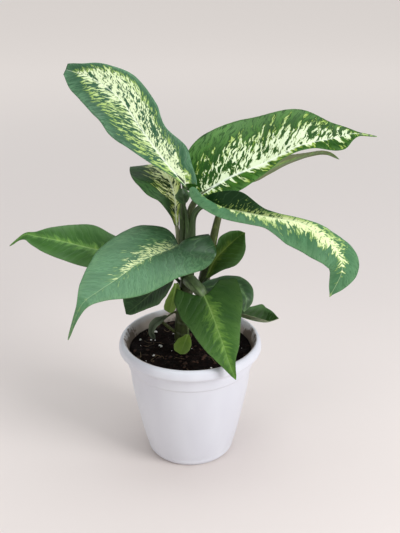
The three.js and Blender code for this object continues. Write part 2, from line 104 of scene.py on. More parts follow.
def along(values: Sequence, share: float) -> Any:
    """Reads evenly spaced values with straight steps between them.

    Args:
        values: numbers or Vectors, from the start to the end.
        share: place along the list, from 0 to 1.

    Returns:
        The value at that place.
    """
    place = clamp(share) * (len(values) - 1)
    index = min(int(place), len(values) - 2)
    part = place - index
    return values[index] * (1 - part) + values[index + 1] * part


def smooth_at(x: float, places: Sequence[float], values: Sequence[float]) -> float:
    """Reads a smooth line through pairs of places and values, without overshoot.

    Args:
        x: where to read.
        places: rising places.
        values: one value for each place.

    Returns:
        The value at x.
    """
    slopes = [(b - a) / (q - p) for a, b, p, q in zip(values, values[1:], places, places[1:])]
    turns = [slopes[0] * 1.5]
    for before, after in zip(slopes, slopes[1:]):
        turns.append(2 * before * after / (before + after) if before * after > 0 else 0.0)
    turns.append(slopes[-1])
    k = 0
    while k < len(places) - 2 and x > places[k + 1]:
        k += 1
    span = places[k + 1] - places[k]
    t = (x - places[k]) / span
    start = values[k] * (1 + 2 * t) * (1 - t) ** 2 + span * turns[k] * t * (1 - t) ** 2
    end = values[k + 1] * t * t * (3 - 2 * t) + span * turns[k + 1] * t * t * (t - 1)
    return start + end


class Path:
    """A smooth line through points, in millimetres, read by share of its length."""

    STEPS = 400

    def __init__(self, points: Iterable[Point]) -> None:
        """Measures the line through the points."""
        self.points = [Vector(point) for point in points]
        self.lengths = [0.0]
        last = self._at(0.0)
        for step in range(1, self.STEPS + 1):
            point = self._at(step / self.STEPS)
            self.lengths.append(self.lengths[-1] + (point - last).length)
            last = point
        self.length = self.lengths[-1]

    def _at(self, t: float) -> Vector:
        """The point at parameter t, which isn't quite the share of the length."""
        count = len(self.points) - 1
        place = clamp(t) * count
        index = min(int(place), count - 1)
        s = place - index
        p1, p2 = self.points[index], self.points[index + 1]
        p0 = self.points[index - 1] if index > 0 else p1 * 2 - p2
        p3 = self.points[index + 2] if index + 2 <= count else p2 * 2 - p1
        a, b = (p2 - p0) * 0.5, (p3 - p1) * 0.5
        return (
            (p1 * 2 - p2 * 2 + a + b) * s**3
            + (p2 * 3 - p1 * 3 - a * 2 - b) * s**2
            + a * s
            + p1
        )

    def _parameter(self, share: float) -> float:
        """The parameter at a share of the length."""
        wanted = clamp(share) * self.length
        low, high = 0, self.STEPS
        while high - low > 1:
            middle = (low + high) // 2
            if self.lengths[middle] <= wanted:
                low = middle
            else:
                high = middle
        step = self.lengths[high] - self.lengths[low]
        return (low + (wanted - self.lengths[low]) / step if step else low) / self.STEPS

    def point(self, share: float) -> Vector:
        """The point at a share of the length."""
        return self._at(self._parameter(share))

    def ahead(self, share: float) -> Vector:
        """The unit direction of the line at a share of the length."""
        t = self._parameter(share)
        return (self._at(min(t + 1e-4, 1)) - self._at(max(t - 1e-4, 0))).normalized()


# ---------------------------------------------------------------- materials


class Wire:
    """A shader value that takes Python's arithmetic."""

    def __init__(self, shader: "Shader", socket: bpy.types.NodeSocket) -> None:
        """Wraps a node's output socket."""
        self.shader = shader
        self.socket = socket

    def _math(self, operation: str, *values: Any) -> "Wire":
        """Adds a Math node."""
        return self.shader.node("ShaderNodeMath", {"operation": operation}, dict(enumerate(values)))

    def __add__(self, other: Any) -> "Wire":
        """self + other."""
        return self._math("ADD", self, other)

    def __sub__(self, other: Any) -> "Wire":
        """self - other."""
        return self._math("SUBTRACT", self, other)

    def __rsub__(self, other: Any) -> "Wire":
        """other - self."""
        return self._math("SUBTRACT", other, self)

    def __mul__(self, other: Any) -> "Wire":
        """self * other."""
        return self._math("MULTIPLY", self, other)

    def __truediv__(self, other: Any) -> "Wire":
        """self / other."""
        return self._math("DIVIDE", self, other)

    def __pow__(self, other: Any) -> "Wire":
        """self ** other."""
        return self._math("POWER", self, other)

    __radd__ = __add__
    __rmul__ = __mul__

    def size(self) -> "Wire":
        """The value without its sign."""
        return self._math("ABSOLUTE", self)

    def fraction(self) -> "Wire":
        """What is left after whole numbers are taken off."""
        return self._math("FRACT", self)

    def at_most(self, other: Any) -> "Wire":
        """The smaller of two values."""
        return self._math("MINIMUM", self, other)

    def at_least(self, other: Any) -> "Wire":
        """The larger of two values."""
        return self._math("MAXIMUM", self, other)

    def step(self, low: Any, high: Any) -> "Wire":
        """Rises smoothly from 0 at low to 1 at high.

        Args:
            low: where the rise starts.
            high: where it ends.

        Returns:
            A value from 0 to 1.
        """
        settings = {"interpolation_type": "SMOOTHSTEP"}
        return self.shader.node("ShaderNodeMapRange", settings, {0: self, 1: low, 2: high, 3: 0.0, 4: 1.0})


class Shader:
    """One material's tree, with one Principled shader at its end."""

    def __init__(self, name: str, **constants: Any) -> None:
        """Starts a material.

        Args:
            name: the material's name.
            constants: values for the Principled shader's sockets, with _ for a space.
        """
        self.material = bpy.data.materials.new(name)
        self.material.use_nodes = True
        self.tree = self.material.node_tree
        self.tree.nodes.clear()
        self.surface = self.tree.nodes.new("ShaderNodeBsdfPrincipled")
        output = self.tree.nodes.new("ShaderNodeOutputMaterial")
        self.tree.links.new(self.surface.outputs[0], output.inputs["Surface"])
        for key, value in constants.items():
            self.feed(key.replace("_", " "), value)

    def _put(self, socket: bpy.types.NodeSocket, value: Any) -> None:
        """Links or sets one input socket."""
        if isinstance(value, Wire):
            self.tree.links.new(value.socket, socket)
        elif socket.type == "RGBA" and len(value) == 3:
            socket.default_value = (*value, 1.0)
        else:
            socket.default_value = value

    def node(
        self,
        kind: str,
        settings: dict[str, Any] | None = None,
        inputs: dict[Any, Any] | None = None,
        output: int | str = 0,
    ) -> Wire:
        """Adds a node.

        Args:
            kind: the node's type.
            settings: its properties, set first. stops are a ramp's (place, colour) pairs.
            inputs: values or Wires for its sockets, by number or name.
            output: which output to hand back.

        Returns:
            That output.
        """
        made = self.tree.nodes.new(kind)
        for key, value in (settings or {}).items():
            if key == "stops":
                ramp = made.color_ramp
                while len(ramp.elements) < len(value):
                    ramp.elements.new(0.5)
                for element, (place, colour) in zip(ramp.elements, value):
                    element.position = place
                    element.color = (*colour, 1.0)
            else:
                setattr(made, key, value)
        for key, value in (inputs or {}).items():
            self._put(made.inputs[key], value)
        return Wire(self, made.outputs[output])

    def feed(self, name: str, value: Any) -> None:
        """Sets or links one of the Principled shader's sockets."""
        self._put(self.surface.inputs[name], value)

    def mix(self, first: Any, second: Any, share: Any) -> Wire:
        """Blends two colours; share is how much of the second shows."""
        return self.node("ShaderNodeMix", {"data_type": "RGBA"}, {0: share, 6: first, 7: second}, 2)

    def join(self, x: Any = 0.0, y: Any = 0.0, z: Any = 0.0) -> Wire:
        """A vector from three values."""
        return self.node("ShaderNodeCombineXYZ", None, {0: x, 1: y, 2: z})

    def parts(self, vector: Wire) -> tuple[Wire, Wire, Wire]:
        """The three values of a vector."""
        first = self.node("ShaderNodeSeparateXYZ", None, {0: vector})
        outputs = first.socket.node.outputs
        return first, Wire(self, outputs[1]), Wire(self, outputs[2])

    def attribute(self, name: str) -> Wire:
        """A vector attribute of the piece's own mesh."""
        return self.node("ShaderNodeAttribute", {"attribute_name": name}, None, "Vector")

    def place(self) -> Wire:
        """The Object coordinates, in metres."""
        return self.node("ShaderNodeTexCoord", None, None, "Object")

    def grain(self, vector: Wire, scale: float, detail: float = 2.0, roughness: float = 0.5) -> Wire:
        """Noise between about 0.2 and 0.8.

        Args:
            vector: where to read it.
            scale: cells in each unit of length.
            detail: how many finer layers are added.
            roughness: how strong these are.

        Returns:
            The value.
        """
        inputs = {"Vector": vector, "Scale": scale, "Detail": detail, "Roughness": roughness}
        return self.node("ShaderNodeTexNoise", None, inputs)

    def relief(self, height: Wire, depth: float, strength: float = 1.0) -> None:
        """Bumps the surface.

        Args:
            height: the relief, from 0 to 1.
            depth: how deep the relief is, in metres.
            strength: how much of it shows.
        """
        inputs = {"Strength": strength, "Distance": depth, "Height": height}
        self.feed("Normal", self.node("ShaderNodeBump", None, inputs))


# ---------------------------------------------------------------- pieces


def finish_piece(
    name: str,
    bm: bmesh.types.BMesh,
    materials: Sequence[bpy.types.Material],
    slot: str,
    nodes: Sequence[str] = (),
) -> bpy.types.Object:
    """Turns a bmesh, in metres, into a piece of the object.

    Args:
        name: the piece's name.
        bm: its shape, freed here.
        materials: its material slots, in order.
        slot: the record's material slot; not used.
        nodes: CAD nodes that it stands for.

    Returns:
        The piece.
    """
    mesh = bpy.data.meshes.new(name)
    bm.to_mesh(mesh)
    bm.free()
    mesh.shade_smooth()
    made = bpy.data.objects.new(name, mesh)
    bpy.context.scene.collection.objects.link(made)
    for material in materials:
        mesh.materials.append(material)
    if nodes:
        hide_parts(*nodes)
    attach(made, "root")
    LOG.info("%s: %d faces", name, len(mesh.polygons))
    return made


def tube(
    bm: bmesh.types.BMesh,
    path: Path,
    radius: Callable[[float, float], float],
    sides: int,
    steps: int,
    material: int = 0,
    facing: Vector = Vector((0, -1, 0)),
) -> None:
    """Adds a closed tube along a path by wrapping a grid round it.

    Args:
        bm: where it goes.
        path: its middle line, in millimetres.
        radius: radius in millimetres for an angle from facing, and a share of the length.
        sides: faces round it.
        steps: faces along it.
        material: material index of its faces.
        facing: the direction that angle 0 looks in.
    """
    run = bm.verts.layers.float_vector.get("run") or bm.verts.layers.float_vector.new("run")
    made = bmesh.ops.create_grid(bm, x_segments=sides, y_segments=steps, size=0.5)["verts"]
    rows: dict[int, tuple[Vector, Vector, Vector]] = {}
    hint = facing
    for row in range(steps + 1):
        ahead = path.ahead(row / steps)
        hint = (hint - ahead * hint.dot(ahead)).normalized()
        rows[row] = (path.point(row / steps), hint, ahead.cross(hint))
    for vert in made:
        share = vert.co.y + 0.5
        angle = (vert.co.x + 0.5) * math.tau
        centre, front, right = rows[round(share * steps)]
        cap = clamp(share * path.length / radius(angle, share), 0, 1)
        cap = min(cap, clamp((1 - share) * path.length / radius(angle, share), 0, 1))
        reach = radius(angle, share) * math.sqrt(1 - (1 - cap) ** 2)
        vert[run] = Vector((math.cos(angle), math.sin(angle), share * path.length * CM_PER_MM))
        vert.co = (centre + (front * math.cos(angle) + right * math.sin(angle)) * reach) * MM
    faces = {face for vert in made for face in vert.link_faces}
    for face in faces:
        face.material_index = material
    bmesh.ops.reverse_faces(bm, faces=list(faces))
    bmesh.ops.remove_doubles(bm, verts=made, dist=WELD)


def section(bm: bmesh.types.BMesh, points: Iterable[tuple[float, float]]) -> list[bmesh.types.BMVert]:
    """Draws a chain of edges in the XZ plane.

    Args:
        bm: where it goes.
        points: radius and height of each corner, in millimetres.

    Returns:
        Its corners.
    """
    verts = [bm.verts.new((radius * MM, 0, height * MM)) for radius, height in points]
    for first, second in zip(verts, verts[1:]):
        bm.edges.new((first, second))
    return verts


def spin(bm: bmesh.types.BMesh, steps: int) -> None:
    """Spins everything in bm once round the Z axis and closes it."""
    bmesh.ops.spin(
        bm,
        geom=bm.verts[:] + bm.edges[:],
        cent=(0, 0, 0),
        axis=(0, 0, 1),
        dvec=(0, 0, 0),
        angle=math.tau,
        steps=steps,
        use_merge=True,
    )
    bmesh.ops.remove_doubles(bm, verts=bm.verts[:], dist=WELD * 10)
    bmesh.ops.recalc_face_normals(bm, faces=bm.faces[:])


# ---------------------------------------------------------------- leaves


class Side(Enum):
    """The two halves of a leaf, seen from above with its tip ahead."""

    LEFT = -1
    RIGHT = 1


class Layer(Enum):
    """The material slots of a leaf."""

    UPPER = 0
    LOWER = 1
    STALK = 2


@dataclass(frozen=True)
class Marks:
    """One kind of mark on a blade: a noise that is read along the side veins.

    across is how fast it changes outwards, so that a low value draws it out along the veins. key
    tells it from the others, scale is its fineness, and the rest shapes its finer layers.
    """

    across: float
    key: float
    scale: float
    detail: float
    roughness: float


TONGUE = Marks(0.32, 0.0, 2.1, 2.0, 0.5)
STREAK = Marks(0.26, 0.0, 6.5, 2.0, 0.6)
PATCH = Marks(0.5, 5.0, 1.6, 3.0, 0.6)
FLECK = Marks(0.46, 9.0, 4.2, 3.0, 0.6)
BROAD = Marks(0.4, 7.0, 0.7, 3.0, 0.5)
BLOT = Marks(0.7, 11.0, 1.0, 4.0, 0.6)
VEINS_PER_CM = 1.35
FEATHERED_WIDTH = 1.6
NO_PALE = (-9.0,) * len(STATIONS)
EVEN = (0.0,) * len(STATIONS)


@dataclass(frozen=True)
class LeafFinish:
    """How one leaf is coloured.

    pale_left and pale_right are how far the pale middle reaches at STATIONS, as a share of the half
    width. flecks is the share of green left in it, and the busy lists add to it. feather is how
    far, in centimetres, pale tongues and green gaps run along the side veins at its border. rake is
    how far the side veins run ahead for each centimetre outwards. blots is the share of large green
    patches, and soft is how far the border is blurred. fine makes the marks smaller, short makes
    them less drawn out along the veins in the left and right half, and yellow is the share of each
    half at which the pale part starts to turn yellow. The shades are painted shade that darkens each
    half, and gloom is the pale part's colour under that painted shade. gloss is the strength of the
    skin's shine, rib_width the midrib's half width in centimetres, and veins how clearly the side
    veins show.
    """

    seed: float
    pale_left: tuple[float, ...] = NO_PALE
    pale_right: tuple[float, ...] = NO_PALE
    flecks: float = 0.4
    busy_left: tuple[float, ...] = EVEN
    busy_right: tuple[float, ...] = EVEN
    feather: float = 1.0
    rake: float = 0.8
    blots: float = 0.0
    soft: float = 0.0
    fine: float = 1.0
    short: tuple[float, float] = (1.0, 1.0)
    yellow: tuple[float, float] = (0.3, 0.3)
    body: Colour = (0.045, 0.15, 0.042)
    deep: Colour = (0.02, 0.075, 0.02)
    edge: Colour = (0.12, 0.24, 0.09)
    tint: Colour = (0.28, 0.46, 0.09)
    pale: Colour = (0.78, 0.86, 0.5)
    gloom: Colour = (0.1, 0.15, 0.03)
    rib: Colour = (0.72, 0.82, 0.6)
    under: Colour = (0.12, 0.2, 0.07)
    stalk: Colour = (0.035, 0.07, 0.018)
    shade_left: tuple[float, ...] = EVEN
    shade_right: tuple[float, ...] = EVEN
    gloss: float = 0.3
    rib_width: float = 0.1
    veins: float = 0.12
    roughness: float = 0.4

    def lanes(self, sh: Shader, off: Wire, run: Wire) -> Wire:
        """A coordinate that is level along each side vein, in centimetres along the midrib."""
        out = off.size()
        warp = sh.grain(sh.join(run, off, self.seed + 3.0), 0.9, 1.0, 0.5)
        return run - out * self.rake - out * out * 0.03 + (warp - 0.5) * 0.8

    @property
    def night(self) -> Colour:
        """The green of the leaf in deep painted shade."""
        red, green, blue = self.body
        return red * 0.06, green * 0.14, blue * 0.05

    def greens(self, blade: "BladeWires") -> Wire:
        """The green parts, lighter towards the margin and darker next to the pale middle."""
        sh = blade.sh
        lighter = blade.streak.step(0.5, 0.8) * 0.22 + blade.outward.step(0.5, 1.0) * 0.4
        green = sh.mix(self.deep, self.body, blade.broad.step(0.3, 0.65))
        green = sh.mix(green, self.edge, lighter)
        green = sh.mix(green, self.deep, blade.level.step(-1.1, -0.2) * 0.7)
        # Painted shade: the shade attribute darkens the green towards night.
        return sh.mix(green, self.night, blade.shade)

    def creams(self, blade: "BladeWires") -> Wire:
        """The pale parts, which turn yellow-green outwards and dull under painted shade."""
        sh = blade.sh
        start = blade.by_half(self.yellow)
        turned = blade.outward + (blade.patch - 0.5) * 1.2
        cream = sh.mix(self.pale, self.tint, turned.step(start, start + 0.65) * 0.85)
        return sh.mix(cream, self.gloom, blade.shade * 0.9)

    def spotted(self, blade: "BladeWires", colour: Wire, green: Wire) -> Wire:
        """Adds the green flecks and blots of the pale parts, with yellow-green rims.

        Args:
            blade: what the colours are worked out from.
            colour: the blade's colour so far.
            green: the colour of its green parts.

        Returns:
            The colour with its spots.
        """
        sh = blade.sh
        limit = 0.68 - 0.22 * self.flecks
        clear = 1.0 - blade.off.size().step(0.15, 0.8)
        flecks = blade.drawn(FLECK, self.fine) + blade.busy * 0.2 - clear * 0.06
        dark = sh.mix(self.deep, green, blade.streak.step(0.35, 0.65))
        # Under painted shade the flecks darken towards night too.
        dark = sh.mix(dark, self.night, blade.shade)
        colour = sh.mix(colour, self.tint, flecks.step(limit - 0.04, limit) * blade.pale * 0.6)
        colour = sh.mix(colour, dark, flecks.step(limit, limit + 0.025))
        if self.blots:
            mark = 0.7 - 0.2 * self.blots
            blots = blade.drawn(BLOT, self.fine).step(mark, mark + 0.03)
            colour = sh.mix(colour, dark, blots * blade.pale)
        return colour

    def veined(self, blade: "BladeWires", colour: Wire) -> Wire:
        """Adds the side veins of the green parts and the midrib."""
        sh = blade.sh
        plain = 1.0 - blade.level.step(-0.3, 0.1)
        colour = sh.mix(colour, self.edge, blade.vein * plain * self.veins)
        width = (1.0 - blade.share * 0.8) * self.rib_width
        rib = 1.0 - (blade.off.size() / width).step(0.3, 1.3)
        return sh.mix(colour, self.rib, rib * (0.8 - blade.share * 0.5))

    def upper(self, name: str) -> bpy.types.Material:
        """The upper side's material."""
        sh = Shader(name, Roughness=self.roughness, IOR=1.45, Specular_IOR_Level=self.gloss)
        blade = BladeWires(sh, self)
        green = self.greens(blade)
        # The yellow-green border fades under painted shade.
        border = blade.level.step(-0.3 - self.soft, 0.0) * (0.8 - blade.shade * 0.6)
        colour = sh.mix(green, self.tint, border)
        colour = sh.mix(colour, self.creams(blade), blade.level.step(0.0, 0.14 + self.soft))
        colour = self.spotted(blade, colour, green)
        sh.feed("Base Color", self.veined(blade, colour))
        sh.feed("Roughness", blade.patch * 0.12 + (self.roughness - 0.06))
        skin = sh.grain(sh.join(blade.slant, blade.off * 0.8, self.seed + 2.0), 14.0, 2.0, 0.6)
        sh.relief(blade.vein * -0.6 + skin * 0.25 + 0.6, 0.0006, 0.35)
        return sh.material

    def lower(self, name: str) -> bpy.types.Material:
        """The underside's material: paler and duller, with a light keel."""
        sh = Shader(name, Roughness=0.55, IOR=1.4)
        leaf = sh.parts(sh.attribute("leaf"))
        off, run, depth = sh.parts(sh.attribute("run"))
        slant = self.lanes(sh, off, run)
        patch = sh.grain(sh.join(slant, off * 0.3, self.seed), 2.0, 2.0, 0.5)
        level = depth + (patch - 0.5) * 3.0 * self.feather
        colour = sh.mix(self.under, self.body, patch.step(0.35, 0.75) * 0.6)
        colour = sh.mix(colour, self.tint, level.step(-0.2, 0.6) * 0.6)
        rib = 1.0 - (off.size() / 0.16).step(0.5, 1.4)
        colour = sh.mix(colour, self.edge, rib * (1.0 - leaf[1] * 0.5))
        sh.feed("Base Color", colour)
        beat = (slant * VEINS_PER_CM).fraction() - 0.5
        vein = (beat.size() * 2.0).step(0.75, 1.0)
        sh.relief(vein * 0.7 + patch * 0.2, 0.0008, 0.6)
        return sh.material

    def stalks(self, name: str) -> bpy.types.Material:
        """The stalk's material: fine pale lines run along it."""
        return stalk_material(name, self.stalk, self.seed)


class BladeWires:
    """What the colours of one blade's upper side are worked out from.

    off, run and depth are places in centimetres: out from the midrib, along it, and in from the
    middle part's border. share is the place along the midrib and outward the place from the midrib
    to the margin, both from 0 to 1. level is above 0 where the blade is pale, and shade is how
    much painted shade darkens it, from 0 to 1.
    """

    def __init__(self, sh: Shader, finish: LeafFinish) -> None:
        self.sh = sh
        self.seed = finish.seed
        across, self.share, _ = sh.parts(sh.attribute("leaf"))
        self.busy, self.shade, _ = sh.parts(sh.attribute("look"))
        self.off, run, depth = sh.parts(sh.attribute("run"))
        self.outward = across.size()
        self.slant = finish.lanes(sh, self.off, run)
        self.right_half = across.step(-0.02, 0.02)
        self.wide = self.off * self.by_half(finish.short)
        self.streak = self.drawn(STREAK)
        self.patch = self.drawn(PATCH, finish.fine)
        self.broad = self.drawn(BROAD)
        tongue = self.drawn(TONGUE, finish.fine)
        ragged = (tongue - 0.5) * 5.0 + (self.patch - 0.5) * 3.0 + (self.streak - 0.5) * 1.6
        calmer = ((self.off / across).size() / FEATHERED_WIDTH).at_most(1.0)
        margin = self.outward.step(0.9, 1.0) * 2.0
        self.level = depth + ragged * finish.feather * calmer - margin
        self.pale = self.level.step(0.0, 0.14)
        beat = (self.slant * VEINS_PER_CM + (self.broad - 0.5) * 0.5).fraction() - 0.5
        self.vein = (beat.size() * 2.0).step(0.8, 1.0)

    def by_half(self, values: tuple[float, float]) -> Wire:
        """The first value in the left half, the second in the right one."""
        left, right = values
        return self.right_half * (right - left) + left

    def drawn(self, marks: Marks, fineness: float = 1.0) -> Wire:
        """A noise drawn out along the side veins."""
        place = self.sh.join(self.slant, self.wide * marks.across, self.seed + marks.key)
        return self.sh.grain(place, marks.scale * fineness, marks.detail, marks.roughness)


def stalk_material(name: str, colour: Colour, seed: float) -> bpy.types.Material:
    """Smooth green tissue with lengthwise streaks.

    Args:
        name: the material's name.
        colour: its middle colour.
        seed: where its noise is read.

    Returns:
        The material.
    """
    sh = Shader(name, Roughness=0.45, IOR=1.42)
    x, y, run = sh.parts(sh.attribute("run"))
    lanes = sh.join(x * 1.3 + seed, y * 1.3, run * 0.12)
    streak = sh.grain(lanes, 3.0, 3.0, 0.6)
    blotch = sh.grain(sh.join(x, y + seed, run * 0.7), 1.4, 2.0, 0.5)
    light = tuple(clamp(part * 2.4 + 0.01) for part in colour)
    dark = tuple(part * 0.5 for part in colour)
    tone = sh.mix(dark, colour, streak.step(0.3, 0.55))
    tone = sh.mix(tone, light, blotch.step(0.5, 0.75) * 0.7)
    sh.feed("Base Color", tone)
    sh.relief(streak, 0.0005, 0.5)
    return sh.material


@dataclass
class Row:
    """What the blade formula needs at one share of the midrib's length."""

    point: Vector
    ahead: Vector
    up: Vector
    side: Vector
    width: dict[Side, float]
    sweep: dict[Side, float]
    lift: dict[Side, float]
    fold: dict[Side, float]
    pale: dict[Side, float]
    busy: dict[Side, float]
    shade: dict[Side, float]


@dataclass
class Leaf:
    """One leaf: a stalk that runs into the midrib, and a blade on both sides of it. Millimetres.

    stalk runs from the stem to the blade and rib from the blade's base to its tip. face is the way
    the upper side looks, from base to tip. left and right are half widths at STATIONS, the sweeps
    and the lifts are how far the lobes reach back and curl up at SWEEP_STATIONS, and the folds are
    degrees by which each half is raised. cup is the extra rise at the margin, and quilt is how much
    the blade swells between its side veins.
    """

    node: str
    stalk: Sequence[Point]
    stalk_radii: tuple[float, float]
    rib: Sequence[Point]
    face: Sequence[Point]
    left: Sequence[float]
    right: Sequence[float]
    fold_left: Sequence[float]
    fold_right: Sequence[float]
    finish: LeafFinish
    sweep_left: Sequence[float] = (0, 0, 0)
    sweep_right: Sequence[float] = (0, 0, 0)
    lift_left: Sequence[float] = (0, 0, 0)
    lift_right: Sequence[float] = (0, 0, 0)
    cup: float = 0.0
    wave: float = 0.0
    waves: float = 1.0
    across: int = 56
    lengthwise: int = 112
    keel: float = 1.4
    skin: float = 0.45
    taper: float = 0.75
    quilt: float = 0.1
    slot: str = "leaf"

    def row(self, path: Path, u: float) -> Row:
        """Reads the leaf's lists at share u of the midrib."""
        ahead = path.ahead(u)
        places = [i / (len(self.face) - 1) for i in range(len(self.face))]
        hint = Vector(smooth_at(u, places, [way[i] for way in self.face]) for i in range(3))
        up = (hint - ahead * hint.dot(ahead)).normalized()
        finish = self.finish

        def both(places: Sequence[float], *lists: Sequence[float]) -> dict[Side, float]:
            """Both halves' values at u, from the left half's list and the right one's."""
            return {half: smooth_at(u, places, values) for half, values in zip(Side, lists)}

        width = both(STATIONS, self.left, self.right)
        fold = both(QUARTERS, self.fold_left, self.fold_right)
        return Row(
            path.point(u),
            ahead,
            up,
            ahead.cross(up),
            {half: value * self.tapered(u) for half, value in width.items()},
            both(SWEEP_STATIONS, (*self.sweep_left, 0, 0), (*self.sweep_right, 0, 0)),
            both(SWEEP_STATIONS, (*self.lift_left, 0, 0), (*self.lift_right, 0, 0)),
            {half: math.radians(value) for half, value in fold.items()},
            both(STATIONS, finish.pale_left, finish.pale_right),
            both(STATIONS, finish.busy_left, finish.busy_right),
            both(STATIONS, finish.shade_left, finish.shade_right),
        )

    def tapered(self, u: float) -> float:
        """Narrows the last bit of the blade to a fine tip."""
        return 1 - self.taper * clamp((u - 0.95) / 0.05) ** 2

    def place(self, row: Row, u: float, v: float) -> Vector:
        """A point of the blade; v runs from the left margin at -1 to the right at 1."""
        half = Side.LEFT if v < 0 else Side.RIGHT
        reach, width, fold = abs(v), row.width[half], row.fold[half]
        fullness = math.sqrt(clamp(width / WIDTH_FOR_FULL_WAVE))
        turn = math.tau * self.waves * u + (RIGHT_SIDE_PHASE if v > 0 else 0)
        rise = width * (math.sin(fold) * reach + self.cup * reach**2)
        rise += row.lift[half] * reach**0.8 * (1.6 - reach)
        rise += self.wave * reach**2 * math.sin(turn) * fullness
        crimp = noise.noise(Vector((u * CRIMPS + self.finish.seed, half.value * 3.1, 0.4)))
        rise += CRIMP_HEIGHT * fullness * reach**3 * crimp
        point = row.point + row.side * (v * width * math.cos(fold)) + row.up * rise
        return point - row.ahead * (row.sweep[half] * reach**1.5)

    def blade(self, bm: bmesh.types.BMesh) -> None:
        """Adds the blade: an upper sheet, a lower one with the midrib's keel, and the margin."""
        leaf = bm.verts.layers.float_vector.new("leaf")
        run = bm.verts.layers.float_vector.new("run")
        look = bm.verts.layers.float_vector.new("look")
        path = Path(self.rib)
        rows = [self.row(path, i / self.lengthwise) for i in range(self.lengthwise + 1)]
        made = bmesh.ops.create_grid(
            bm, x_segments=self.across, y_segments=self.lengthwise, size=0.5
        )["verts"]
        for vert in made:
            v = math.copysign(abs(vert.co.x * 2) ** CROWDING, vert.co.x)
            v = 0.0 if abs(v) < NEAR_MIDRIB else v
            u = clamp(vert.co.y + 0.5)
            row = rows[round(u * self.lengthwise)]
            half = Side.LEFT if v < 0 else Side.RIGHT
            width = row.width[half]
            vert[leaf] = Vector((v, u, 0))
            # look carries how busy the flecks are and how much painted shade darkens each half.
            vert[look] = Vector((row.busy[half], row.shade[half], 0))
            depth = (row.pale[half] - abs(v)) * width
            vert[run] = Vector((v * width, u * path.length, depth)) * CM_PER_MM
            vert.co = self.place(row, u, v) * MM
        bm.normal_update()
        copies = bmesh.ops.duplicate(bm, geom=bm.verts[:] + bm.edges[:] + bm.faces[:])
        lower = [item for item in copies["geom"] if isinstance(item, bmesh.types.BMVert)]
        normals = {vert: vert.normal.copy() for vert in made + lower}
        for vert in made:
            vert.co += normals[vert] * (self.relief(vert[run], vert[leaf].y) * MM)
        for vert in lower:
            vert.co -= normals[vert] * (self.depth(vert[run], vert[leaf].y) * MM)
        under = [item for item in copies["geom"] if isinstance(item, bmesh.types.BMFace)]
        bmesh.ops.reverse_faces(bm, faces=under)
        rims = [edge for edge in bm.edges if edge.is_boundary]
        margin = bmesh.ops.bridge_loops(bm, edges=rims)["faces"]
        for face in [*under, *margin]:
            face.material_index = Layer.LOWER.value

    def relief(self, run: Vector, u: float) -> float:
        """Height of the upper side over the blade's middle, in millimetres."""
        off, length = abs(run.x) / CM_PER_MM, run.y / CM_PER_MM
        groove = GROOVE_DEPTH * bell(off, GROOVE_WIDTH) * (1 - u)
        slant = length - self.finish.rake * off - 0.003 * off**2
        swell = math.cos(math.tau * slant * VEINS_PER_CM * CM_PER_MM)
        quilt = self.quilt * swell * clamp(off / 6)
        quilt *= 1 - bell(u - 1, 0.2)
        return self.skin / 2 - groove - quilt

    def depth(self, run: Vector, u: float) -> float:
        """How far the underside is below the blade's middle, in millimetres."""
        off = abs(run.x) / CM_PER_MM
        keel = self.keel * bell(off, KEEL_WIDTH) * (1 - 0.85 * u)
        return self.skin / 2 + keel

    def stem(self, bm: bmesh.types.BMesh) -> None:
        """Adds the stalk, which runs on as the keel of the midrib."""
        path = Path(self.rib)
        points = [Vector(point) for point in self.stalk]
        points[-1] -= self.row(path, 0.0).up * (self.stalk_radii[1] * STALK_SINK)
        for share, drop in KEEL_RUN:
            row = self.row(path, share)
            points.append(row.point - row.up * (self.stalk_radii[1] * drop))
        line = Path(points)
        first, second = self.stalk_radii
        radii = (first, (first + second) / 2, second, second * 0.62, second * 0.3)
        front = self.row(path, 0.0).up

        def radius(angle: float, share: float) -> float:
            """A round section with a shallow channel on the upper side."""
            channel = 0.28 * bell(math.remainder(angle, math.tau), 0.5) * (1 - share) ** 0.7
            return max(along(radii, share), 0.2) * (1 - channel)

        tube(bm, line, radius, sides=20, steps=60, material=Layer.STALK.value, facing=front)

    def build(self) -> bpy.types.Object:
        """Makes the whole leaf as one piece."""
        bm = bmesh.new()
        self.blade(bm)
        self.stem(bm)
        finish = self.finish
        makers = {Layer.UPPER: finish.upper, Layer.LOWER: finish.lower, Layer.STALK: finish.stalks}
        materials = [makers[layer](f"{self.node}_{layer.name.lower()}") for layer in Layer]
        return finish_piece(f"{self.node}_finished", bm, materials, self.slot, [self.node])


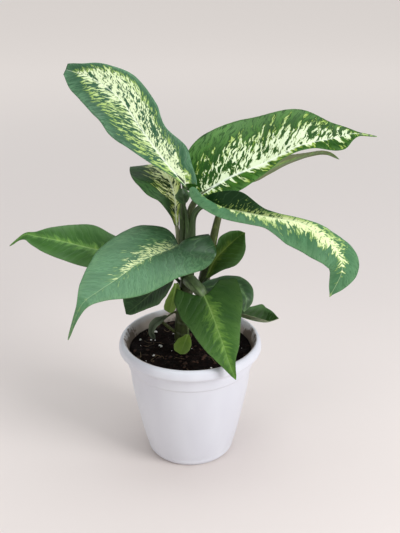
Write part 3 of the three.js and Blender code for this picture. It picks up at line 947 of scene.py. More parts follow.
LEAVES = (
    Leaf(
        "leaf_mid_left",
        stalk=((-8, 9, 222), (-11, 9, 234), (-12, 9, 245), (-13, 9, 253)),
        stalk_radii=(3.4, 2),
        rib=(
            (-13, 9, 253), (-14, 9, 267), (-15, 12, 284), (-21, 20, 299),
            (-29, 36, 305), (-37, 58, 302), (-47, 84, 291),
        ),
        face=((0.1, -0.95, 0.2), (0.15, -0.85, 0.5), (0.1, -0.5, 0.85), (-0.1, 0.3, 0.95)),
        left=(2, 5, 15, 29, 34, 29, 17, 8, 1),
        right=(2, 3, 6, 10, 15, 17, 14, 7, 1),
        fold_left=(20, 15, 10, 6, 4),
        fold_right=(25, 20, 15, 8, 4),
        cup=-0.06,
        wave=1.2,
        waves=2,
        finish=LeafFinish(
            seed=1.0,
            pale_left=(0.2, 0.25, 0.3, 0.45, 0.45, 0.35, 0.1, -0.4, -0.8),
            pale_right=(0.3, 0.4, 0.7, 0.9, 0.8, 0.5, 0.2, -0.2, -0.6),
            flecks=0.6,
            feather=0.7,
            rake=1.1,
            pale=(0.66, 0.74, 0.36),
            tint=(0.36, 0.46, 0.08),
            body=(0.035, 0.1, 0.025),
            deep=(0.012, 0.04, 0.01),
            edge=(0.06, 0.14, 0.04),
            shade_left=(0, 0, 0, 0, 0, 0, 0, 0, 0),
            gloss=0.25,
            stalk=(0.2, 0.22, 0.12),
            busy_left=(0, 0, 0, 0.3, 0.3, 0.2, 0, 0, 0),
            blots=0.6,
            fine=1.2,
        ),
    ),
    Leaf(
        "leaf_upper_left",
        stalk=((-6, 8, 226), (-6, 7, 246), (-7, 4, 272), (-4, 1, 299)),
        stalk_radii=(5.2, 2.8),
        rib=(
            (-4, 1, 299), (-25, 10, 321), (-47, 21, 349),
            (-67, 32, 375), (-92, 41, 392), (-120, 46, 401),
        ),
        face=((0.5, -0.75, 0.4), (0.35, -0.8, 0.5), (0.25, -0.8, 0.5)),
        left=(2, 5, 13, 23, 33, 32, 27, 20, 7),
        right=(8, 17, 27, 21, 27, 28, 20, 10, 7),
        sweep_left=(3, 2, 1),
        sweep_right=(8, 6, 3),
        fold_left=(14, 10, 8, 6, 4),
        fold_right=(22, 18, 12, 10, 20),
        cup=-0.06,
        wave=1.5,
        waves=2.2,
        taper=0.15,
        finish=LeafFinish(
            seed=2.0,
            pale_left=(0.8, 0.8, 0.75, 0.7, 0.66, 0.62, 0.5, 0.15, -0.9),
            pale_right=(0.5, 0.45, 0.6, 0.7, 0.72, 0.72, 0.75, 0.3, -0.9),
            flecks=0.66,
            feather=0.34,
            rake=1.1,
            blots=0.7,
            pale=(0.7, 0.8, 0.5),
            tint=(0.33, 0.48, 0.1),
            body=(0.07, 0.18, 0.085),
            deep=(0.022, 0.085, 0.035),
            edge=(0.15, 0.3, 0.16),
            rib=(0.78, 0.86, 0.68),
            rib_width=0.16,
            busy_left=(0, 0, 0.15, 0.3, 0.35, 0.3, 0.25, 0.4, 0.6),
            busy_right=(0, -0.1, 0.1, 0.3, 0.1, -0.1, 0, 0.2, 0.6),
            gloss=0.4,
            fine=1.25,
            short=(1.0, 2.0),
            yellow=(-0.1, 0.5),
            stalk=(0.04, 0.07, 0.02),
        ),
    ),
    Leaf(
        "leaf_upper_right",
        stalk=((-1, 12, 226), (-1, 12, 246), (1, 9, 269), (9, 5, 286)),
        stalk_radii=(5.2, 3.2),
        rib=(
            (9, 5, 286), (40, 11, 303), (74, 16, 316), (107, 20, 332),
            (141, 23, 339), (160, 24, 343), (183, 25, 340),
        ),
        face=((-0.2, -0.75, 0.6), (-0.15, -0.7, 0.7), (0, -0.6, 0.8)),
        left=(14, 40, 54, 57, 50, 40, 18, 2, 1),
        right=(6, 11, 16, 11, 5, 6, 14, 2, 1),
        sweep_left=(11, 10, 6),
        sweep_right=(4, 3, 1),
        fold_left=(10, 8, 4, 2, 0),
        fold_right=(5, 0, 0, 0, 0),
        cup=-0.12,
        wave=2,
        waves=2,
        finish=LeafFinish(
            seed=3.0,
            pale_left=(0.4, 0.46, 0.5, 0.5, 0.52, 0.6, 0.6, 0.0, -0.9),
            pale_right=(0.2, 0.25, 0.3, 0.3, 0.4, 0.5, 0.3, -0.3, -0.9),
            flecks=0.3,
            feather=1.5,
            rake=0.6,
            blots=0.55,
            pale=(0.7, 0.8, 0.54),
            tint=(0.3, 0.45, 0.05),
            body=(0.048, 0.16, 0.01),
            deep=(0.012, 0.06, 0.004),
            edge=(0.13, 0.28, 0.08),
            rib=(0.82, 0.9, 0.75),
            rib_width=0.16,
            busy_left=(1.3, 0.9, 0.6, 0.5, 0.4, 0.6, 0.8, 0.9, 0.9),
            busy_right=(0.9, 0.6, 0.3, 0.2, 0.2, 0.4, 0.5, 0.8, 0.8),
            gloss=0.25,
            short=(0.85, 0.85),
            stalk=(0.09, 0.12, 0.045),
        ),
    ),
    Leaf(
        "leaf_drooping_right",
        stalk=((1, 3, 224), (2, 1, 245), (4, -2, 267), (13, -6, 281)),
        stalk_radii=(4.6, 3),
        rib=(
            (13, -6, 281), (34, -16, 280), (58, -27, 279), (81, -37, 278), (103, -46, 277),
            (123, -55, 268), (138, -61, 251), (142, -64, 235), (132, -66, 210),
        ),
        face=((0.1, -0.45, 0.9), (0, -0.55, 0.9), (0, -0.7, 0.7), (0.3, -0.8, 0.5)),
        left=(3, 14, 20, 7, 4, 11, 24, 12, 1),
        right=(10, 12, 14, 13, 25, 24, 15, 8, 1),
        sweep_left=(4, 3, 1),
        sweep_right=(7, 17, 9),
        lift_right=(34, 17, 3),
        fold_left=(50, 58, 25, -30, -12),
        fold_right=(24, 0, -4, 0, 5),
        cup=-0.05,
        wave=1.2,
        waves=2.5,
        finish=LeafFinish(
            seed=4.0,
            pale_left=(0.1, 0.26, 0.42, 0.85, 1.15, 0.9, 0.3, -0.4, -0.9),
            pale_right=(-0.1, 0.0, 0.12, 0.4, 0.36, 0.26, 0.1, -0.4, -0.8),
            flecks=0.6,
            feather=0.7,
            rake=0.7,
            shade_left=(1, 1, 1, 0.65, 0, 0, 0, 0, 0),
            # body is the leaf's teal green with the blue-grey sheen of its near half painted in, since its
            # gloss is low.
            body=(0.092, 0.225, 0.104),
            deep=(0.055, 0.15, 0.065),
            edge=(0.13, 0.26, 0.12),
            pale=(0.76, 0.84, 0.46),
            tint=(0.3, 0.45, 0.12),
            rib=(0.6, 0.72, 0.42),
            rib_width=0.12,
            gloss=0.15,
            soft=0.04,
            fine=1.3,
            busy_left=(0.9, 0.8, 0.8, 0.4, 0.2, 0.2, 0.3, 0.3, 0.3),
            blots=0.3,
            yellow=(0.12, 0.12),
            gloom=(0.16, 0.23, 0.04),
        ),
    ),
    Leaf(
        "leaf_behind_right",
        stalk=((17, 24, 202), (22, 28, 222), (26, 32, 240), (30, 34, 256), (33, 36, 271)),
        stalk_radii=(5.4, 3.8),
        rib=(
            (33, 36, 271), (49, 39, 284), (69, 43, 295), (97, 48, 307),
            (124, 52, 315), (140, 54, 315), (153, 56, 308),
        ),
        face=((-0.1, 0.5, 0.85), (0, 0.5, 0.85)),
        left=(4, 14, 22, 26, 25, 19, 9, 3, 1),
        right=(4, 14, 22, 26, 25, 19, 9, 3, 1),
        sweep_left=(6, 4, 2),
        sweep_right=(6, 4, 2),
        fold_left=(12, 10, 8, 6, 4),
        fold_right=(12, 10, 8, 6, 4),
        cup=-0.1,
        wave=1.5,
        waves=2,
        finish=LeafFinish(
            seed=5.0,
            pale_left=(0.3, 0.3, 0.3, 0.3, 0.3, 0.2, 0.1, 0, -0.3),
            pale_right=(0.3, 0.3, 0.3, 0.3, 0.3, 0.2, 0.1, 0, -0.3),
            flecks=0.5,
            under=(0.14, 0.17, 0.05),
            stalk=(0.055, 0.075, 0.015),
        ),
    ),
    Leaf(
        "leaf_front_left",
        stalk=((-6, 7, 194), (-10, -2, 216), (-10, -9, 230), (-10, -14, 239)),
        stalk_radii=(3.4, 2.2),
        rib=(
            (-10, -14, 239), (-29, -19, 235), (-48, -30, 230), (-68, -48, 221),
            (-85, -64, 215), (-97, -76, 210), (-104, -81, 199), (-113, -86, 175),
        ),
        face=((-0.05, -0.25, 0.95), (-0.1, -0.4, 0.9), (-0.3, -0.55, 0.8)),
        left=(6, 38, 50, 42, 28, 13, 5, 2, 1),
        right=(17, 36, 48, 46, 36, 21, 4, 2, 1),
        sweep_left=(30, 40, 30),
        lift_left=(15, 10, 5),
        sweep_right=(0, 2, 8),
        fold_left=(15, 6, 4, 2, 8),
        fold_right=(14, 8, 6, 6, 14),
        cup=-0.1,
        wave=0.8,
        waves=1.5,
        finish=LeafFinish(
            seed=6.0,
            pale_left=(-0.02, 0, 0.0, -0.05, -0.2, -0.5, -0.9, -1.4, -2.0),
            pale_right=(0.3, 0.36, 0.34, 0.24, 0.0, -0.4, -0.8, -1.3, -2.0),
            flecks=0.9,
            feather=0.9,
            rake=0.75,
            body=(0.108, 0.264, 0.12),
            deep=(0.062, 0.175, 0.074),
            edge=(0.14, 0.28, 0.11),
            pale=(0.7, 0.8, 0.4),
            tint=(0.22, 0.37, 0.12),
            rib=(0.4, 0.55, 0.3),
            rib_width=0.08,
            shade_left=(0.95, 0.75, 0.35, 0.05, 0, 0, 0, 0, 0),
            shade_right=(0.9, 0.65, 0.3, 0.1, 0, 0, 0, 0, 0),
            gloss=0.45,
            soft=0.3,
            fine=1.4,
            veins=0.16,
            blots=0.6,
        ),
    ),
    Leaf(
        "leaf_far_left",
        stalk=((-6, 10, 202), (-20, 12, 208), (-41, 13, 212), (-61, 14, 216)),
        stalk_radii=(3, 2),
        rib=(
            (-61, 14, 216), (-80, 17, 220), (-107, 23, 224), (-134, 28, 229),
            (-158, 32, 232), (-172, 34, 233), (-189, 36, 220),
        ),
        face=((0.1, -0.7, 0.7), (0, -0.7, 0.7), (-0.1, -0.7, 0.7)),
        left=(10, 17, 20, 21, 20, 16, 8, 2, 1),
        right=(8, 16, 20, 25, 21, 13, 3, 1, 1),
        sweep_left=(8, 6, 3),
        sweep_right=(8, 6, 3),
        fold_left=(6, 5, 4, 4, 4),
        fold_right=(10, 8, 5, 5, 5),
        cup=-0.08,
        wave=1.5,
        waves=2.5,
        finish=LeafFinish(
            seed=7.0,
            pale_left=(-0.1, 0, 0.05, 0.0, -0.05, -0.1, -0.3, -0.6, -1),
            pale_right=(-0.1, 0.05, 0.1, 0.08, 0.0, -0.1, -0.3, -0.6, -1),
            flecks=0.2,
            feather=0.35,
            body=(0.046, 0.14, 0.02),
            deep=(0.03, 0.1, 0.015),
            pale=(0.25, 0.42, 0.08),
            tint=(0.12, 0.27, 0.05),
            rib=(0.25, 0.42, 0.12),
            soft=0.35,
        ),
    ),
    Leaf(
        "leaf_front_hanging",
        stalk=((-2, 6, 196), (3, -8, 197), (10, -19, 194.5), (14.5, -23.8, 191)),
        stalk_radii=(7.4, 6.2),
        rib=(
            (14.5, -23.8, 191.2), (22, -36, 178), (28, -50, 166),
            (34, -62, 153), (38, -70, 143), (45, -78, 127),
        ),
        face=((0.1, -0.75, 0.65), (0.1, -0.8, 0.6), (0.1, -0.85, 0.5)),
        left=(20, 37, 35, 27, 21, 15, 7, 3, 1),
        right=(23, 31, 31, 26, 22, 17, 9, 4, 1),
        sweep_left=(10, 10, 5),
        sweep_right=(16, 10, 4),
        fold_left=(6, 6, 6, 8, 10),
        fold_right=(6, 6, 6, 8, 10),
        cup=-0.08,
        wave=0.8,
        waves=1.5,
        finish=LeafFinish(
            seed=8.0,
            pale_left=(-0.1, 0.04, 0.1, 0.12, 0.1, 0.05, -0.1, -0.5, -1),
            pale_right=(-0.1, 0.04, 0.08, 0.12, 0.1, 0.05, -0.1, -0.5, -1),
            flecks=0.35,
            feather=0.5,
            body=(0.056, 0.14, 0.024),
            deep=(0.03, 0.09, 0.016),
            edge=(0.1, 0.2, 0.05),
            pale=(0.17, 0.3, 0.06),
            tint=(0.11, 0.23, 0.035),
            rib=(0.18, 0.3, 0.08),
            stalk=(0.085, 0.135, 0.05),
            shade_left=(0.5, 0.45, 0.35, 0.25, 0.1, 0, 0, 0, 0),
            shade_right=(0.6, 0.6, 0.5, 0.4, 0.25, 0.1, 0, 0, 0),
            veins=0.03,
            gloss=0.2,
            soft=0.4,
            fine=1.4,
        ),
    ),
    Leaf(
        "leaf_right_upright",
        stalk=((14, 25, 174), (14, 18, 184), (18, 14, 194)),
        stalk_radii=(2.4, 1.6),
        rib=((18, 14, 194), (26, 20, 211), (38, 27, 222), (50, 31, 232), (57, 33, 236)),
        face=((-0.1, -0.8, 0.5), (-0.1, -0.75, 0.6), (0, -0.7, 0.7)),
        left=(1, 2, 3, 5, 9, 13, 11, 6, 1),
        right=(1, 5, 12, 19, 22, 21, 17, 9, 1),
        sweep_left=(1, 1, 0),
        sweep_right=(1, 1, 0),
        fold_left=(15, 15, 12, 10, 8),
        fold_right=(15, 15, 12, 10, 8),
        cup=-0.05,
        wave=0.5,
        waves=2,
        across=32,
        lengthwise=56,
        finish=LeafFinish(
            seed=9.0,
            pale_left=(0.05, 0.05, 0.05, 0, -0.05, -0.1, -0.3, -0.6, -1),
            pale_right=(0.05, 0.05, 0.05, 0, -0.05, -0.1, -0.3, -0.6, -1),
            flecks=0.1,
            feather=0.3,
            body=(0.035, 0.085, 0.012),
            deep=(0.02, 0.055, 0.008),
            pale=(0.2, 0.28, 0.05),
            tint=(0.09, 0.15, 0.02),
            rib=(0.16, 0.22, 0.05),
            gloss=0.12,
            soft=0.3,
        ),
    ),
    Leaf(
        "leaf_right_curled",
        stalk=((11, 26, 164), (11, 12, 178), (14, 2, 187)),
        stalk_radii=(2.4, 1.6),
        rib=((14, 2, 187), (33, 1, 191), (49, -4, 190), (57, -11, 182), (55, -16, 169)),
        face=((0, -0.3, 1), (0.2, -0.3, 0.9), (0.6, -0.5, 0.6)),
        left=(6, 9, 10, 15, 16, 14, 9, 5, 1),
        right=(2, 8, 14, 18, 19, 17, 12, 7, 1),
        sweep_left=(2, 1, 1),
        sweep_right=(2, 1, 1),
        fold_left=(15, 12, 10, 8, 5),
        fold_right=(15, 12, 10, 8, 5),
        cup=-0.1,
        wave=1,
        waves=2,
        across=32,
        lengthwise=56,
        finish=LeafFinish(
            seed=10.0,
            pale_left=(-0.2, -0.2, 0.0, 0.1, 0.1, 0.0, -0.2, -0.5, -1),
            pale_right=(-0.2, -0.2, 0.0, 0.1, 0.1, 0.0, -0.2, -0.5, -1),
            flecks=0.1,
            feather=0.3,
            body=(0.04, 0.12, 0.035),
            deep=(0.015, 0.05, 0.012),
            pale=(0.3, 0.42, 0.2),
            tint=(0.12, 0.24, 0.08),
            rib=(0.2, 0.35, 0.15),
            gloss=0.45,
            soft=0.3,
        ),
    ),
    Leaf(
        "leaf_right_low",
        stalk=((11, 27, 143), (25, 22, 151), (44, 18, 151)),
        stalk_radii=(2, 1.3),
        rib=((44, 18, 151), (59, 20, 144), (72, 22, 139), (83, 24, 137), (95, 26, 140)),
        face=((0, -0.1, 1), (0.1, -0.1, 1)),
        left=(4, 8, 10, 13, 17, 19, 17, 11, 1),
        right=(3, 7, 10, 12, 12, 10, 7, 4, 1),
        fold_left=(50, 48, 45, 40, 30),
        fold_right=(45, 45, 45, 40, 30),
        cup=0,
        wave=0.3,
        waves=2,
        across=32,
        lengthwise=56,
        finish=LeafFinish(
            seed=11.0,
            flecks=-0.6,
            body=(0.02, 0.055, 0.006),
            deep=(0.01, 0.03, 0.004),
            under=(0.2, 0.24, 0.12),
            rib=(0.2, 0.3, 0.1),
            gloss=0.1,
        ),
    ),
    Leaf(
        "leaf_left_low",
        stalk=((-6, 11, 181), (-12, 12, 191), (-19, 12, 196)),
        stalk_radii=(2.2, 1.6),
        rib=((-19, 12, 196), (-36, 20, 178), (-53, 26, 159), (-69, 28, 144)),
        face=((-0.2, -0.5, 0.8), (-0.1, -0.6, 0.8)),
        left=(6, 14, 19, 19, 16, 12, 8, 5, 1),
        right=(4, 12, 20, 27, 31, 31, 28, 20, 4),
        sweep_left=(3, 2, 1),
        sweep_right=(3, 2, 1),
        fold_left=(8, 8, 7, 6, 6),
        fold_right=(8, 8, 7, 6, 6),
        cup=-0.1,
        wave=1,
        waves=2,
        across=32,
        lengthwise=56,
        finish=LeafFinish(
            seed=12.0,
            flecks=-0.6,
            body=(0.02, 0.055, 0.015),
            deep=(0.01, 0.03, 0.008),
            rib=(0.12, 0.2, 0.07),
            gloss=0.2,
        ),
    ),
    Leaf(
        "young_leaf_yellow_green",
        stalk=((-8, 8, 176), (-12, -1, 190), (-13, -6, 196)),
        stalk_radii=(2, 1.6),
        rib=((-13, -6, 196), (-17, -11, 182), (-21, -14, 167)),
        face=((-0.2, -0.9, 0.3), (-0.2, -0.9, 0.3)),
        left=(3, 4, 6, 7, 8, 7, 6, 4, 1),
        right=(3, 3, 4, 5, 6, 7, 7, 6, 1),
        fold_left=(25, 23, 22, 21, 20),
        fold_right=(25, 23, 22, 21, 20),
        cup=0,
        wave=0,
        waves=1,
        across=32,
        lengthwise=56,
        finish=LeafFinish(
            seed=13.0,
            flecks=-0.6,
            body=(0.14, 0.24, 0.03),
            deep=(0.08, 0.15, 0.02),
            edge=(0.2, 0.3, 0.06),
            rib=(0.3, 0.42, 0.12),
            stalk=(0.1, 0.15, 0.03),
        ),
        slot="young_leaf",
    ),
    Leaf(
        "young_leaf_round",
        stalk=((-7, 10, 146), (-3, 0, 149), (-2, -8, 139)),
        stalk_radii=(1.8, 1.3),
        rib=((-2, -8, 139), (-6, -16, 132), (-10, -23, 124)),
        face=((-0.2, -0.7, 0.7), (-0.2, -0.8, 0.6)),
        left=(1, 3, 5, 7, 8, 8, 7, 5, 1),
        right=(1, 3, 5, 8, 9, 10, 9, 7, 1),
        fold_left=(10, 10, 10, 10, 10),
        fold_right=(10, 10, 10, 10, 10),
        cup=-0.1,
        wave=0,
        waves=1,
        across=32,
        lengthwise=56,
        finish=LeafFinish(
            seed=14.0,
            flecks=-0.6,
            body=(0.16, 0.26, 0.035),
            deep=(0.1, 0.18, 0.025),
            edge=(0.22, 0.32, 0.07),
            rib=(0.2, 0.3, 0.07),
            stalk=(0.08, 0.12, 0.03),
        ),
        slot="young_leaf",
    ),
    Leaf(
        "withered_leaf",
        stalk=((-9, 11, 149), (-16, 9, 156), (-24, 6, 153)),
        stalk_radii=(1.6, 1.2),
        rib=((-24, 6, 153), (-36, 2, 146), (-40, 0, 137), (-37, -1, 130)),
        face=((-0.3, -0.7, 0.7), (-0.2, -0.8, 0.6)),
        left=(1, 3, 5, 7, 7, 6, 5, 3, 1),
        right=(1, 3, 4, 6, 6, 5, 4, 3, 1),
        fold_left=(40, 42, 45, 48, 50),
        fold_right=(40, 42, 45, 48, 50),
        cup=-0.1,
        wave=0.6,
        waves=2,
        across=32,
        lengthwise=56,
        finish=LeafFinish(
            seed=15.0,
            flecks=-0.6,
            body=(0.11, 0.14, 0.09),
            deep=(0.035, 0.05, 0.03),
            edge=(0.2, 0.24, 0.16),
            under=(0.1, 0.13, 0.08),
            rib=(0.14, 0.17, 0.1),
            roughness=0.6,
            stalk=(0.07, 0.09, 0.03),
        ),
        slot="dry_leaf",
    ),
    Leaf(
        "new_leaf_unrolling",
        stalk=((-3, 3, 228), (-2, 0, 250), (-3, -4, 270), (-5, -8, 282)),
        stalk_radii=(3.4, 2.4),
        rib=((-5, -8, 282), (-6, -9, 290), (-7, -6, 297)),
        face=((0.1, -1, 0.2), (0, -0.8, 0.6)),
        left=(3, 5, 7, 8, 8, 8, 6, 4, 2),
        right=(3, 5, 7, 8, 8, 8, 6, 4, 2),
        fold_left=(-25, -25, -25, -25, -25),
        fold_right=(-25, -25, -25, -25, -25),
        cup=-0.3,
        wave=0,
        waves=1,
        across=32,
        lengthwise=56,
        finish=LeafFinish(
            seed=16.0,
            flecks=-0.6,
            body=(0.03, 0.07, 0.02),
            deep=(0.015, 0.04, 0.01),
            rib=(0.05, 0.1, 0.03),
        ),
    ),
)


# ---------------------------------------------------------------- stems


@dataclass
class Cane:
    """A bent stem with the ring scars of old leaves. Millimetres."""

    node: str
    path: Sequence[Point]
    radii: Sequence[float]
    ring_gap: float = 13.0
    ring_lean: float = 2.0
    ring_swell: float = 0.05
    ring_crease: float = 0.06
    colour: Colour = (0.045, 0.06, 0.018)
    seed: float = 1.0
    sides: int = 40
    steps: int = 150

    def build(self) -> bpy.types.Object:
        """Makes the stem."""
        bm = bmesh.new()
        line = Path(self.path)

        def radius(angle: float, share: float) -> float:
            """A round section, swollen at each ring scar."""
            here = share * line.length + self.ring_lean * math.sin(angle)
            ring = math.remainder(here, self.ring_gap)
            scar = self.ring_swell * bell(ring, 1.6) - self.ring_crease * bell(ring - 2.2, 0.7)
            return along(self.radii, share) * (0.98 + scar)

        tube(bm, line, radius, self.sides, self.steps)
        material = stalk_material(f"{self.node}_bark", self.colour, self.seed)
        return finish_piece(f"{self.node}_finished", bm, [material], "stem", [self.node])


STEMS = (
    Cane(
        "main_stem",
        ((-9, 12, 92), (-9, 12, 126), (-8, 11, 152), (-4, 9, 182), (-2, 8, 214), (-3, 8, 234)),
        (7, 8, 7.6, 7.3, 7, 6),
    ),
    Cane(
        "side_stem",
        ((8, 28, 98), (9, 28, 126), (12, 28, 156), (15, 26, 188), (18, 24, 206)),
        (5.4, 6.6, 6.8, 6.6, 5.4),
        ring_gap=11.0,
        colour=(0.05, 0.075, 0.02),
        seed=4.0,
    ),
    Cane(
        "old_leaf_stub",
        ((-12, 11, 129), (-21, 9, 137), (-30, 7, 146)),
        (1.9, 1.6),
        ring_gap=9.0,
        colour=(0.09, 0.11, 0.03),
        seed=7.0,
        sides=20,
        steps=40,
    ),
)


# ---------------------------------------------------------------- pot


@dataclass(frozen=True)
class PotFinish:
    """Satin white plastic with soil stains inside the rim and a few scuffs."""

    white: Colour = (0.7, 0.71, 0.76)
    shade: Colour = (0.62, 0.62, 0.68)
    film: Colour = (0.56, 0.45, 0.35)
    stain: Colour = (0.1, 0.07, 0.045)
    scuff: Colour = (0.36, 0.36, 0.38)
    roughness: float = 0.34

    def material(self, soil_line: float, inner: float) -> bpy.types.Material:
        """The pot's material.

        Args:
            soil_line: height of the soil at the wall, in metres.
            inner: middle radius of the wall at the soil line, in metres.

        Returns:
            The material.
        """
        sh = Shader("pot_plastic", Roughness=self.roughness, IOR=1.48, Specular_IOR_Level=0.45)
        place = sh.place()
        x, y, z = sh.parts(place)
        flow = sh.grain(sh.join(x, y, z * 0.25), 28.0, 2.0, 0.5)
        speck = sh.grain(place, 420.0, 2.0, 0.6)
        blot = sh.grain(place, 75.0, 4.0, 0.65)
        radius = (x * x + y * y) ** 0.5
        reach = inner + (z - soil_line - 0.002).at_least(0.0) * 0.4
        above = z.step(soil_line - 0.003, soil_line - 0.001)
        inside = (1.0 - (radius - reach).step(-0.0003, 0.0003)) * above
        low = 1.0 - (z - soil_line).step(0.0, 0.012)
        sides = (x / radius).size().step(0.85, 0.98)
        film = inside * (low * 0.9 + (flow - 0.5) * 1.5 + 0.3).step(-0.1, 0.9)
        stain = inside * (low * 0.6 + (blot - 0.58) * 3.0 + sides * 0.8).step(0.3, 0.8)
        colour = sh.mix(self.white, self.shade, flow.step(0.35, 0.7) * 0.6)
        scratch = sh.grain(sh.join(x * 3.0, y * 3.0, z * 9.0), 90.0, 3.0, 0.7)
        marks = scratch.step(0.7, 0.78) * blot.step(0.56, 0.64)
        colour = sh.mix(colour, self.scuff, marks * 0.35)
        colour = sh.mix(colour, self.film, film * 0.75)
        colour = sh.mix(colour, self.stain, stain * 0.85)
        foot = 1.0 - z.step(0.0, 0.004)
        colour = sh.mix(colour, self.scuff, foot * blot.step(0.45, 0.62) * 0.5)
        sh.feed("Base Color", colour)
        sh.feed("Roughness", speck * 0.06 + marks * 0.2 + stain * 0.4 + (self.roughness - 0.03))
        sh.relief(flow * 0.5 + speck * 0.08, 0.0006, 0.35)
        return sh.material


TAPER = ((48.9, 15, 4), (52.0, 28, 6), (57.2, 54, 9), (61.8, 79, 8))


@dataclass
class Pot:
    """The round plastic nursery pot: tapered wall, collar, rolled rim and drain holes. Millimetres."""

    height: float = 132
    wall: float = 2
    floor: float = 3
    base_radius: float = 45.5
    collar_z: float = 104
    collar_radius: float = 66.3
    rim_z: float = 121
    rim_radius: float = 75
    rim_lip: float = 7
    drain_holes: int = 6
    drain_radius: float = 4
    drain_ring: float = 28
    segments: int = 160
    finish: PotFinish = field(default_factory=PotFinish)

    def outside(self) -> list[tuple[float, float, float]]:
        """The outer wall from the middle of the base to the rim: radius, height, rounding."""
        base, collar, rim = self.base_radius, self.collar_radius, self.rim_radius
        return [
            (0, 0.6, 0),
            (base - 9, 0.6, 0.3),
            (base - 8, 0, 0.3),
            (base - 2.4, 0, 1.2),
            (base + 0.4, 3.2, 1.6),
            (base + 1.2, 6.2, 0.3),
            (base + 1.0, 6.8, 0.3),
            *TAPER,
            (64.2, self.collar_z - 0.4, 0.6),
            (collar - 0.3, self.collar_z + 1.6, 0.8),
            (collar + 0.4, self.rim_z - 0.2, 0.5),
            (rim - 1.6, self.rim_z, 0.5),
            (rim - 0.1, self.rim_z + 1.8, 1.2),
            (rim - 0.4, self.height - 5.0, 2.5),
            (rim - 2.4, self.height - 0.9, 2.0),
            (rim - 4.6, self.height, 1.2),
        ]

    def inside(self) -> list[tuple[float, float, float]]:
        """The inner wall from the rim to the middle of the floor: radius, height, rounding."""
        collar = self.collar_radius - self.wall
        return [
            (self.rim_radius - self.rim_lip + 0.6, self.height - 0.1, 1.0),
            (self.rim_radius - self.rim_lip - 1, self.height - 3.2, 1.2),
            (collar + 0.4, self.rim_z, 1.5),
            (collar - 0.6, self.collar_z + 2, 1.0),
            *((radius - self.wall, height, 3) for radius, height, _ in reversed(TAPER)),
            (self.base_radius - self.wall, self.floor, 1.0),
            (0, self.floor, 0),
        ]

    def shell(self) -> bmesh.types.BMesh:
        """The pot without its holes: a rounded section spun round the axis."""
        bm = bmesh.new()
        outline = self.outside() + self.inside()
        verts = section(bm, [(radius, height) for radius, height, _ in outline])
        for vert, (_, _, rounding) in zip(verts, outline):
            if rounding:
                bmesh.ops.bevel(
                    bm,
                    geom=[vert],
                    offset=rounding * MM,
                    segments=4,
                    profile=0.5,
                    affect="VERTICES",
                    material=-1,
                )
        spin(bm, self.segments)
        return bm

    def drills(self) -> bmesh.types.BMesh:
        """The cutters of the drain holes."""
        bm = bmesh.new()
        for hole in range(self.drain_holes):
            angle = math.tau * hole / self.drain_holes
            spot = Vector((math.cos(angle), math.sin(angle), 0)) * (self.drain_ring * MM)
            bmesh.ops.create_cone(
                bm,
                cap_ends=True,
                segments=32,
                radius1=self.drain_radius * MM,
                radius2=self.drain_radius * MM,
                depth=self.floor * 4 * MM,
                matrix=Matrix.Translation(spot),
            )
        return bm

    def build(self, soil_line: float) -> bpy.types.Object:
        """Makes the pot.

        Args:
            soil_line: height of the soil at the wall, in millimetres.

        Returns:
            The pot.
        """
        shell = as_scratch("pot_shell", self.shell())
        drills = as_scratch("pot_drills", self.drills())
        cut = shell.modifiers.new("drain_holes", "BOOLEAN")
        cut.object = drills
        cut.operation = "DIFFERENCE"
        cut.solver = "EXACT"
        bm = bmesh.new()
        bm.from_object(shell, bpy.context.evaluated_depsgraph_get())
        for scratch in (shell, drills):
            bpy.data.objects.remove(scratch)
        material = self.finish.material(soil_line * MM, (self.collar_radius - self.wall / 2) * MM)
        made = finish_piece("pot_finished", bm, [material], "pot_plastic", ["pot"])
        made.data.set_sharp_from_angle(angle=math.radians(50))
        return made


def as_scratch(name: str, bm: bmesh.types.BMesh) -> bpy.types.Object:
    """A throw-away object that holds a bmesh for a modifier to work on."""
    mesh = bpy.data.meshes.new(name)
    bm.to_mesh(mesh)
    bm.free()
    made = bpy.data.objects.new(name, mesh)
    bpy.context.scene.collection.objects.link(made)
    return made


# ---------------------------------------------------------------- soil


@dataclass(frozen=True)
class SoilFinish:
    """Moist, nearly black potting mix and the bits that lie in it."""

    dark: Colour = (0.004, 0.0025, 0.002)
    brown: Colour = (0.012, 0.006, 0.005)
    red: Colour = (0.055, 0.018, 0.01)
    bark: Colour = (0.06, 0.026, 0.014)
    perlite: Colour = (0.82, 0.81, 0.78)
    fibre: Colour = (0.2, 0.14, 0.08)

    def mix(self) -> bpy.types.Material:
        """The mix itself."""
        sh = Shader("potting_mix", Roughness=0.85, IOR=1.4, Specular_IOR_Level=0.15)
        place = sh.place()
        fine = sh.grain(place, 900.0, 3.0, 0.7)
        lumps = sh.grain(place, 240.0, 3.0, 0.6)
        wet = sh.grain(place, 60.0, 2.0, 0.5)
        colour = sh.mix(self.dark, self.brown, lumps.step(0.4, 0.68))
        colour = sh.mix(colour, self.red, fine.step(0.6, 0.72) * 0.8)
        sh.feed("Base Color", colour)
        sh.feed("Roughness", 1.0 - wet.step(0.45, 0.7) * 0.35)
        sh.relief(fine * 0.5 + lumps * 0.5, 0.0016, 1.0)
        return sh.material

    def bits(self, name: str, colour: Colour, spread: float) -> bpy.types.Material:
        """A material for loose bits.

        Args:
            name: the material's name.
            colour: the middle colour.
            spread: how much darker the dark ones are.

        Returns:
            The material.
        """
        sh = Shader(name, Roughness=0.8, IOR=1.4)
        place = sh.place()
        dark = tuple(part * (1 - spread) for part in colour)
        sh.feed("Base Color", sh.mix(dark, colour, sh.grain(place, 260.0, 2.0, 0.6).step(0.35, 0.6)))
        sh.relief(sh.grain(place, 1500.0, 2.0, 0.6), 0.0004, 0.8)
        return sh.material


